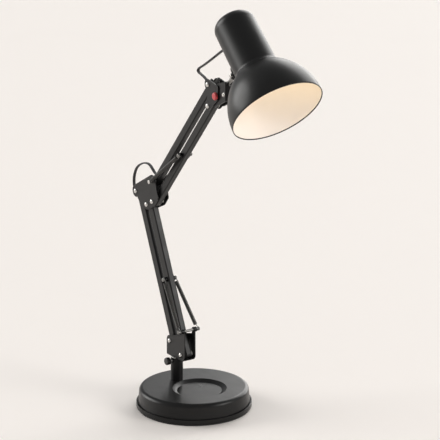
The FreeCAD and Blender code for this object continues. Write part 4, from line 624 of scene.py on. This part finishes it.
def spin(section, material):
    """Sweeps points (radius, height) round the Z axis and returns the mesh."""
    line = bpy.data.meshes.new("section")
    line.from_pydata([(radius - AXIS_RADIUS, -height, 0) for radius, height in section],
                     [(number, number + 1) for number in range(len(section) - 1)], [])
    guide = bpy.data.objects.new("section", line)
    scene.collection.objects.link(guide)
    mesh = grow(spun_shell, section=guide, axis_radius=AXIS_RADIUS, steps=SPIN_STEPS, material=material)
    bpy.data.objects.remove(guide)
    return mesh


def in_shade_frame(mesh):
    """Moves a mesh from its own upright axis onto the shade's axis."""
    back = SHADE_BACK.normalized()
    across = Vector((0, 1, 0))
    turned = Matrix((across.cross(back), across, back)).transposed().to_4x4()
    mesh.transform(Matrix.Translation(SHADE_MOUTH) @ turned)
    return mesh


# %% Weld the outside to the inside
RIM_ROUND, RIM_BAND, WELD = 0.0003, 0.0014, 0.00001
rim_inner, rim_outer = inner_skin[0][0], outer_skin[0][0]
rim_lip = [(rim_inner, RIM_BAND), (rim_inner, RIM_ROUND), (rim_inner + RIM_ROUND, 0.0),
           (rim_outer - RIM_ROUND, 0.0), (rim_outer, RIM_ROUND)]
outside = spin(rim_lip + outer_skin[1:] + [inner_skin[-1]], finishes["shade_paint"])
inside = spin([rim_lip[0]] + inner_skin[1:], finishes["white_enamel"])
shell_mesh = in_shade_frame(join_meshes("shade_shell", [outside, inside], WELD))
shade_shell = add_piece("shade_shell", shell_mesh)
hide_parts("shade")
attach(shade_shell, "shade")
print("shade triangles:", 2 * len(shade_shell.data.polygons))

# %% [markdown]
# ## The wound springs
#
# A balance spring is a long close coil of hard wire, with its last turn bent out into a hook at
# each end. The coil repeats, so Geometry Nodes make it from a spiral curve and a round section.
# Each hook is a smooth curve by itself, because a bent hook follows no rule.

# %% A tree that winds a coil
coil_winder, coil_in, coil_out = new_grower("coil_winder", [
    ("Coil Radius", NUMBER, 0.0026), ("Wire Radius", NUMBER, 0.00045), ("Turns", NUMBER, 50),
    ("Length", NUMBER, 0.07), ("Material", "NodeSocketMaterial", None)])
POINTS_A_TURN, WIRE_SIDES = 18, 8
spiral = add_node(coil_winder, "GeometryNodeCurveSpiral", Resolution=POINTS_A_TURN)
wire = add_node(coil_winder, "GeometryNodeCurvePrimitiveCircle", Resolution=WIRE_SIDES)
wound = coil_winder.nodes.new("GeometryNodeCurveToMesh")
wound.inputs["Fill Caps"].default_value = True
coil_winder.links.new(coil_in.outputs["Coil Radius"], spiral.inputs["Start Radius"])
coil_winder.links.new(coil_in.outputs["Coil Radius"], spiral.inputs["End Radius"])
coil_winder.links.new(coil_in.outputs["Turns"], spiral.inputs["Rotations"])
coil_winder.links.new(coil_in.outputs["Length"], spiral.inputs["Height"])
coil_winder.links.new(coil_in.outputs["Wire Radius"], wire.inputs["Radius"])
coil_winder.links.new(spiral.outputs["Curve"], wound.inputs["Curve"])
coil_winder.links.new(wire.outputs["Curve"], wound.inputs["Profile Curve"])
close_grower(coil_winder, wound.outputs["Mesh"], coil_in, coil_out)

# %% Points along a smooth line
SPLINE_ORDER, SPLINE_STEPS = 3, 12


def smooth_line(points):
    """Points read along a smooth spline that the given points steer."""
    curve = bpy.data.curves.new("line", "CURVE")
    curve.dimensions = "3D"
    spline = curve.splines.new("NURBS")
    spline.points.add(len(points) - 1)
    for number, point in enumerate(points):
        spline.points[number].co = (*point, 1)
    spline.order_u = SPLINE_ORDER
    spline.use_endpoint_u = True
    spline.resolution_u = SPLINE_STEPS
    guide = bpy.data.objects.new("line", curve)
    scene.collection.objects.link(guide)
    graph = bpy.context.evaluated_depsgraph_get()
    mesh = bpy.data.meshes.new_from_object(guide.evaluated_get(graph), depsgraph=graph)
    line = [vertex.co.copy() for vertex in mesh.vertices]
    bpy.data.objects.remove(guide)
    return line


# %% A tube along a line
def sweep(line, section, material, wide=Vector((0, 1, 0))):
    """A closed tube along points. A section point is (along the wide way, along the thick way)."""
    tube = bmesh.new()
    rings = []
    for number, point in enumerate(line):
        ahead = (line[min(number + 1, len(line) - 1)] - line[max(number - 1, 0)]).normalized()
        thick = wide.cross(ahead).normalized()
        broad = ahead.cross(thick)
        rings.append([tube.verts.new(point + broad * x + thick * y) for x, y in section])
    for first, second in zip(rings, rings[1:]):
        for number in range(len(section)):
            after = (number + 1) % len(section)
            tube.faces.new((first[number], first[after], second[after], second[number]))
    tube.faces.new(reversed(rings[0]))
    tube.faces.new(rings[-1])
    bmesh.ops.recalc_face_normals(tube, faces=tube.faces)
    for face in tube.faces:
        face.smooth = len(face.verts) == 4
    mesh = bpy.data.meshes.new("tube")
    tube.to_mesh(mesh)
    tube.free()
    mesh.materials.append(material)
    return mesh


# %% A hook
COIL_RADIUS, WIRE_RADIUS, COIL_PITCH = 0.0026, 0.00045, 0.00115
HOOK_ANGLES = (-205, -170, -135, -100, -65, -35, -10)
HOOK_WIDE = Vector((0.1, 1, 0.05))
SHANK_LOW, SHANK_HIGH = 0.35, 0.75
SHANK_BOW, COIL_BOW, COIL_GAP = 0.0006, 0.0008, 0.0004


def round_section(radius):
    """A wire's section."""
    angles = [2 * math.pi * step / WIRE_SIDES for step in range(WIRE_SIDES)]
    return [(radius * math.cos(angle), radius * math.sin(angle)) for angle in angles]


def hook(reach, upward):
    """A hook round a rod at the origin, and its shank up or down to the coil."""
    way = 1 if upward else -1
    loop = [(COIL_RADIUS * math.cos(angle), 0, way * COIL_RADIUS * math.sin(angle))
            for angle in map(math.radians, HOOK_ANGLES)]
    rise = [(COIL_RADIUS, 0, way * reach * SHANK_LOW),
            (COIL_RADIUS, -way * SHANK_BOW, way * reach * SHANK_HIGH),
            (COIL_RADIUS, -way * COIL_BOW, way * (reach - COIL_GAP)),
            (COIL_RADIUS, 0, way * reach)]
    line = smooth_line(loop + rise)
    # The hook's lighter finish is a painted highlight.
    return sweep(line, round_section(WIRE_RADIUS), finishes["hook_wire"], HOOK_WIDE)


# %% A whole spring
def hang_spring(name, low, high, low_reach, high_reach):
    """A spring from a low rod to a high rod."""
    upright = (high - low).normalized()
    across = Vector((0, 1, 0))
    length = (high - low).length
    coil_length = length - low_reach - high_reach
    coil = grow(coil_winder, coil_radius=COIL_RADIUS, wire_radius=WIRE_RADIUS,
                turns=float(round(coil_length / COIL_PITCH)), length=coil_length,
                material=finishes["spring_wire"])
    coil.transform(Matrix.Translation((0, 0, low_reach)))
    top = hook(high_reach, False)
    top.transform(Matrix.Translation((0, 0, length)))
    mesh = join_meshes(name, [coil, hook(low_reach, True), top])
    sideways = across.cross(upright).normalized()
    depth = upright.cross(sideways)
    mesh.transform(Matrix.Translation(low) @ Matrix((sideways, depth, upright)).transposed().to_4x4())
    spring = add_piece(name + "_wound", mesh)
    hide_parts(name)
    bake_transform(spring)


# %% Hang the four springs
# Each row: name, low and high rod, reach of the low and the high hook, bodies and opening.
SPRINGS = [
    ("lower_spring", (0.033, 0.016, 0.1195), (-0.01983, 0.0096, 0.18717),
     0.007, 0.0055, ("bracket", "lower_front"), 0.4),
    ("upper_spring", (-0.05126, 0.0137, 0.33367), (0.02423, 0.0096, 0.38889),
     0.006, 0.0055, ("elbow", "upper_bottom"), 0.2)]
for side, way in (("near", -1), ("far", 1)):
    for name, *rods, low_reach, high_reach, bodies, opening in SPRINGS:
        low, high = (Vector((x, way * y, z)) for x, y, z in rods)
        hang_spring(f"{name}_{side}", low, high, low_reach, high_reach)

# %% [markdown]
# ## Nuts and washers on the yoke
#
# A small hexagon nut on a washer sits on each cheek of the yoke, where the stem's block is held.
# Nuts and washers are both flat discs that lie across the lamp, one with six sides and one with
# many. One tree of Geometry Nodes puts such a disc on every point it is given, so a third or a
# fourth nut would only be one more point.

# %% A tree that sets a disc across the lamp on each point
disc_setter, disc_in, disc_out = new_grower("disc_setter", [
    ("Places", "NodeSocketObject", None), ("Radius", NUMBER, 0.0023), ("Thickness", NUMBER, 0.001),
    ("Sides", "NodeSocketInt", 6), ("Material", "NodeSocketMaterial", None)])
places_read = disc_setter.nodes.new("GeometryNodeObjectInfo")
disc = disc_setter.nodes.new("GeometryNodeMeshCylinder")
laid_disc = add_node(disc_setter, "GeometryNodeTransform", Rotation=(math.pi / 2, 0, 0))
set_discs = disc_setter.nodes.new("GeometryNodeInstanceOnPoints")
disc_setter.links.new(disc_in.outputs["Places"], places_read.inputs["Object"])
disc_setter.links.new(disc_in.outputs["Sides"], disc.inputs["Vertices"])
disc_setter.links.new(disc_in.outputs["Radius"], disc.inputs["Radius"])
disc_setter.links.new(disc_in.outputs["Thickness"], disc.inputs["Depth"])
disc_setter.links.new(disc.outputs["Mesh"], laid_disc.inputs["Geometry"])
disc_setter.links.new(places_read.outputs["Geometry"], set_discs.inputs["Points"])
disc_setter.links.new(laid_disc.outputs["Geometry"], set_discs.inputs["Instance"])
close_grower(disc_setter, set_discs.outputs["Instances"], disc_in, disc_out)

# %% Set the two washers and the two nuts
YOKE_FACE, NUT_X, NUT_Z = 0.0082, 0.1402, 0.5000
WASHER_RADIUS, WASHER_THICKNESS, WASHER_SIDES = 0.0030, 0.0005, 24
NUT_RADIUS, NUT_THICKNESS, NUT_SIDES = 0.0024, 0.0016, 6


def set_on_cheeks(radius, low, high, sides, material):
    """Discs on both cheeks of the yoke, from one distance from the middle plane to another."""
    middle = (low + high) / 2
    points = bpy.data.meshes.new("places")
    points.from_pydata([(NUT_X, -middle, NUT_Z), (NUT_X, middle, NUT_Z)], [], [])
    guide = bpy.data.objects.new("places", points)
    scene.collection.objects.link(guide)
    mesh = grow(disc_setter, places=guide, radius=radius, thickness=high - low, sides=sides,
                material=material)
    bpy.data.objects.remove(guide)
    for polygon in mesh.polygons:
        polygon.use_smooth = False
    return mesh


zinc = finishes["zinc_plate"]
washer_top = YOKE_FACE + WASHER_THICKNESS
nut_top = washer_top + NUT_THICKNESS
washers = set_on_cheeks(WASHER_RADIUS, YOKE_FACE, washer_top, WASHER_SIDES, zinc)
hexagons = set_on_cheeks(NUT_RADIUS, washer_top, nut_top, NUT_SIDES, zinc)
yoke_nuts = add_piece("yoke_nuts", join_meshes("yoke_nuts", [washers, hexagons]))
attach(yoke_nuts, "yoke")
print("nut faces:", len(yoke_nuts.data.polygons))

# %% [markdown]
# ## The lead
#
# The lead is a flat twin cord. It runs inside the lower bar, loops over the elbow into the upper
# bar, comes out behind the head, folds back and goes straight into the shade's neck. It is one
# smooth spline, steered by a few given points. The spline is then cut where one moving piece of the
# lamp hands the lead to the next. A stretch that one body holds rides on that body; the others
# stay in place.

# %% Steer the lead
LEAD_POINTS = [
    (-0.0199, 0, 0.1208), (-0.0882, 0, 0.2764), (-0.1056, 0, 0.2978), (-0.1156, 0, 0.3058),
    (-0.1193, 0, 0.3148), (-0.1189, 0, 0.3253), (-0.1136, 0, 0.3383), (-0.1041, 0, 0.3473),
    (-0.0911, 0, 0.3533), (-0.0771, 0, 0.3556), (-0.0681, 0, 0.3519), (-0.0570, 0, 0.3430),
    (-0.0473, 0, 0.3435), (0.0811, 0, 0.4902), (0.0880, 0, 0.5020), (0.0862, 0, 0.5096),
    (0.0786, 0, 0.5138), (0.0696, 0, 0.5168), (0.0614, 0, 0.5194), (0.0626, 0, 0.5240),
    (0.0721, 0, 0.5289), (0.0853, 0, 0.5358), (0.1512, 0, 0.5760)]
LEAD_STRETCHES = [
    ("lead_lower", ("lower_rear",), (-0.0833, 0, 0.2651)),
    ("lead_elbow_lower", ("lower_rear", "elbow"), (-0.0814, 0, 0.3549)),
    ("lead_elbow_upper", ("elbow", "upper_top"), (-0.0445, 0, 0.3468)),
    ("lead_upper", ("upper_top",), (0.0771, 0, 0.4856)),
    ("lead_head_lower", ("upper_top", "head"), (0.0721, 0, 0.5289)),
    ("lead_head_middle", ("head", "yoke"), (0.1073, 0, 0.5492)),
    ("lead_head_upper", ("yoke", "shade"), (0.1512, 0, 0.5760))]
CORE_RADIUS, CORE_SPREAD, GROOVE_SHARE = 0.0012, 0.0013, 0.78
CORE_ANGLES = (-100, -60, -30, 0, 30, 60, 100)


def twin_section():
    """A flat twin cord: two round cores side by side with a shallow groove between them."""
    right = [(CORE_SPREAD + CORE_RADIUS * math.cos(angle), CORE_RADIUS * math.sin(angle))
             for angle in map(math.radians, CORE_ANGLES)]
    left = [(-x, -y) for x, y in right]
    groove = CORE_RADIUS * GROOVE_SHARE
    return right + [(0, groove)] + left + [(0, -groove)]


lead_line = smooth_line(LEAD_POINTS)
first = 0
for name, bodies, handover in LEAD_STRETCHES:
    away = [(point - Vector(handover)).length for point in lead_line]
    last = away.index(min(away))
    stretch = lead_line[first:last + 1]
    piece = add_piece(name + "_cord", sweep(stretch, twin_section(), finishes["cord_cover"]))
    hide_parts(name)
    if len(bodies) == 1:
        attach(piece, bodies[0])
    else:
        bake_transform(piece)
    print(name, "points:", len(stretch))
    first = last

# %% [markdown]
# ## Finish the floor
#
# The floor is a plain pale surface.

# %% Floor colour
FLOOR_COLOUR, FLOOR_MARKS = (0.96, 0.91, 0.87), (0.94, 0.89, 0.85)
pale_floor = new_finish("pale_floor", FLOOR_COLOUR, FLOOR_MARKS, 0.3, (0.75, 0.85), 200, 0.00005, 3)
floor.data.materials.append(pale_floor)
